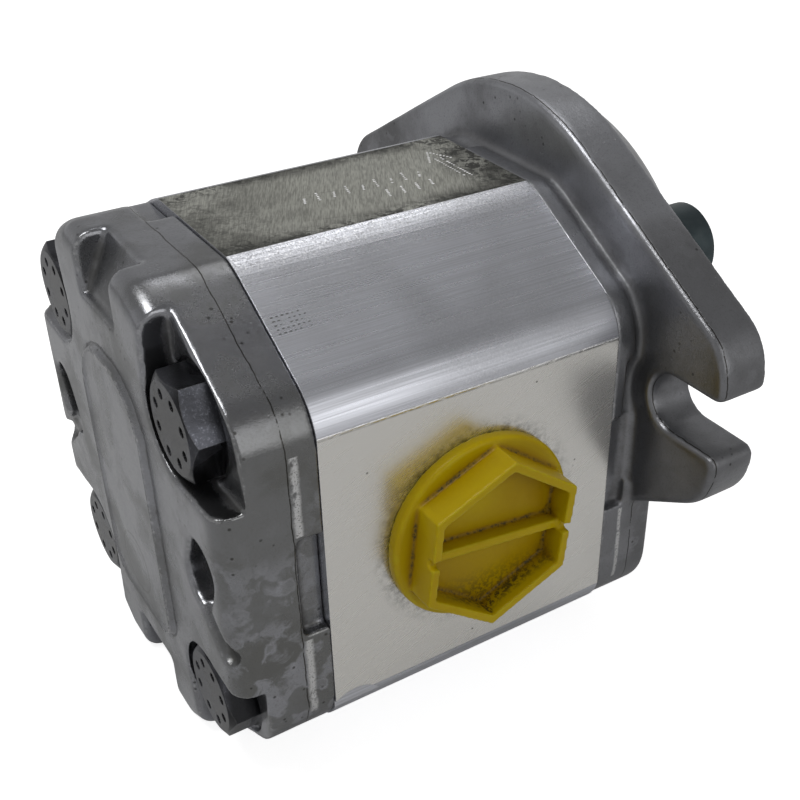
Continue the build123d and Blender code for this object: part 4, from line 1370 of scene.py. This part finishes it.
@dataclass
class Studio:
    """Floor, lamps, world and camera."""

    camera_place: Point = (-0.1474, -0.1880, 0.1170)
    azimuth: float = -32.32
    elevation: float = 33.58
    roll: float = -0.47
    focal_pixels: float = 1186.7
    centre_pixels: tuple[float, float] = (435.1, 440.0)
    image_side: float = 800.0
    sensor: float = 36.0
    floor_reach: float = 4.0

    def camera(self) -> bpy.types.Object:
        """Makes the camera at the photograph's viewing angle."""
        turn, lift, tilt = (math.radians(a) for a in (self.azimuth, self.elevation, self.roll))
        ahead = Vector((-math.sin(turn) * math.cos(lift), math.cos(turn) * math.cos(lift), -math.sin(lift)))
        level = ahead.cross(Vector((0, 0, 1))).normalized()
        above = level.cross(ahead)
        right = level * math.cos(tilt) + above * math.sin(tilt)
        up = above * math.cos(tilt) - level * math.sin(tilt)
        data = bpy.data.cameras.new("camera")
        data.sensor_width = self.sensor
        data.lens = self.focal_pixels * self.sensor / self.image_side
        data.shift_x = (self.image_side / 2 - self.centre_pixels[0]) / self.image_side
        data.shift_y = (self.centre_pixels[1] - self.image_side / 2) / self.image_side
        data.clip_start = 0.005
        camera = bpy.data.objects.new("camera", data)
        turned = Matrix((right, up, -ahead)).transposed().to_4x4()
        camera.matrix_world = Matrix.Translation(self.camera_place) @ turned
        bpy.context.scene.collection.objects.link(camera)
        bpy.context.scene.camera = camera
        return camera

    def floor(self) -> bpy.types.Object:
        """Makes the floor that the pump stands on."""
        mesh = bpy.data.meshes.new("floor")
        reach, level = self.floor_reach, LAYOUT.bottom
        corners = [(x * reach, y * reach, level) for x, y in ((-1, -1), (1, -1), (1, 1), (-1, 1))]
        mesh.from_pydata(corners, [], [(0, 1, 2, 3)])
        floor = Meshes.show(mesh, "floor")
        mesh.materials.append(FloorFinish("floor").build())
        return floor

    def world(self) -> None:
        """Makes a plain grey-white world that is dimmer overhead, and white to the camera."""
        world = bpy.data.worlds.new("studio")
        world.use_nodes = True
        world.node_tree.nodes.clear()
        pen = Pen(world.node_tree)
        _, _, height = pen.split(pen.add("ShaderNodeTexCoord").outputs["Generated"])
        level = pen.remap(height, 0.05, 0.9, 0.56, 0.23)
        glow = pen.add("ShaderNodeBackground", {"Color": (1, 1, 1, 1), "Strength": level})
        white = pen.add("ShaderNodeBackground", {"Color": (1, 1, 1, 1), "Strength": 1.0})
        seen = pen.add("ShaderNodeLightPath").outputs["Is Camera Ray"]
        both = pen.add("ShaderNodeMixShader", {0: seen, 1: glow.outputs[0], 2: white.outputs[0]})
        pen.add("ShaderNodeOutputWorld", {"Surface": both.outputs[0]})
        bpy.context.scene.world = world

    def build(self) -> None:
        """Makes the whole studio."""
        self.camera()
        self.floor()
        self.world()
        for lamp in LAMPS:
            lamp.hang()
        bpy.context.scene.view_settings.view_transform = "Standard"
        log.info("studio ready")


@dataclass(frozen=True)
class Dressing:
    """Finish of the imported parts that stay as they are, chosen by a part of their names."""

    finish: Finish
    names: tuple[str, ...]

    def build(self) -> None:
        """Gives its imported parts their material."""
        material = self.finish.build()
        nodes = [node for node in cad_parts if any(name in node for name in self.names)]
        for node in nodes:
            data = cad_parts[node].data
            data.materials.clear()
            data.materials.append(material)
        log.info("%s: %d packed parts dressed", self.finish.name, len(nodes))


DRESSINGS = (
    Dressing(BodyFinish("extruded_body"), ("pump_body",)),
    Dressing(BoltFinish("black_bolts"), ("cover_bolt",)),
    Dressing(
        SteelFinish(
            "dark_shaft", base=(0.06, 0.078, 0.084, 1), dust=(0.09, 0.11, 0.115, 1), worn=grey(0.25),
            wear=0.4, glint_and_bare_metal=0.1,
        ),
        ("gear_shaft",),
    ),
    Dressing(
        SteelFinish("key_steel", base=grey(0.4), worn=grey(0.6), dust=grey(0.3)),
        ("shaft_key", "dowel"),
    ),
    Dressing(
        SteelFinish("spring_steel", base=grey(0.2), worn=grey(0.45), dust=grey(0.14)),
        ("seal_case", "garter_spring", "retaining_ring"),
    ),
    Dressing(
        SteelFinish("bearing_alloy", base=grey(0.5), worn=grey(0.7), dust=grey(0.42), roughness=0.4),
        ("bearing_block",),
    ),
    Dressing(
        SteelFinish(
            "liner_bronze", base=(0.5, 0.34, 0.19, 1), worn=(0.7, 0.5, 0.3, 1), dust=(0.4, 0.26, 0.14, 1),
        ),
        ("liner",),
    ),
    Dressing(PlasticFinish("nitrile"), ("body_seal", "balance_seal", "seal_lip")),
    Dressing(
        PlasticFinish("backup_plastic", base=(0.7, 0.67, 0.6, 1), edge=(0.8, 0.78, 0.73, 1), roughness=0.4),
        ("backup_ring",),
    ),
)


def main() -> None:
    """Builds the studio and the pump's looks in order."""
    logging.basicConfig(level=logging.INFO, format="%(name)s: %(message)s")
    Studio().build()
    for dressing in DRESSINGS:
        dressing.build()
    cover = CastFinish(
        "cast_cover", base=grey(0.3, blue=0.05), roughness=0.25, stain_share=0.8, cloud_share=0.5,
        wear=0.5, wear_low=0.85, dirt_and_shade_share=0.65, dirt_and_shade_low=0.4, grain_depth=0.025 * MM,
        parting=Parting(line=-84.8 * MM, strip=-83.6 * MM, strip_half=0.65 * MM),
        ring_place=(0.0, 1.0 * MM, -35.0 * MM),
    )
    flange = CastFinish(
        "cast_flange", base=grey(0.36, blue=0.05), deep=grey(0.11), pale=grey(0.38, blue=0.05),
        worn=grey(0.6), roughness=0.36, stain_share=0.25, dirt_and_shade_share=0.4, grain_depth=0.04 * MM,
        wear=0.4, wear_low=0.8, machined=grey(0.62),
        parting=Parting(line=-9.4 * MM, strip=-12.6 * MM, strip_half=0.4 * MM, strip_top=-26.0 * MM),
    )
    cap = CapFinish("cap_plastic")
    RearCover(
        "rear_cover", "cast_rear_cover", HOUSING, "cast_aluminium", cover,
        voxel=0.42 * MM, passes=8, swell=0.07 * MM,
    ).build()
    MountingFlange(
        "mounting_flange", "cast_flange", HOUSING, "cast_aluminium", flange,
        voxel=0.4 * MM, passes=14, swell=0.07 * MM,
    ).build()
    for port in Port:
        start = port.value
        SoftCopy(
            f"{start}_cap", f"{start}_cap_shell", f"{start}_plug", "cap_plastic", cap,
            voxel=0.3 * MM, passes=3, most_faces=60000,
        ).build()
    SurfaceMarks().build()


if __name__ == "__main__":
    main()
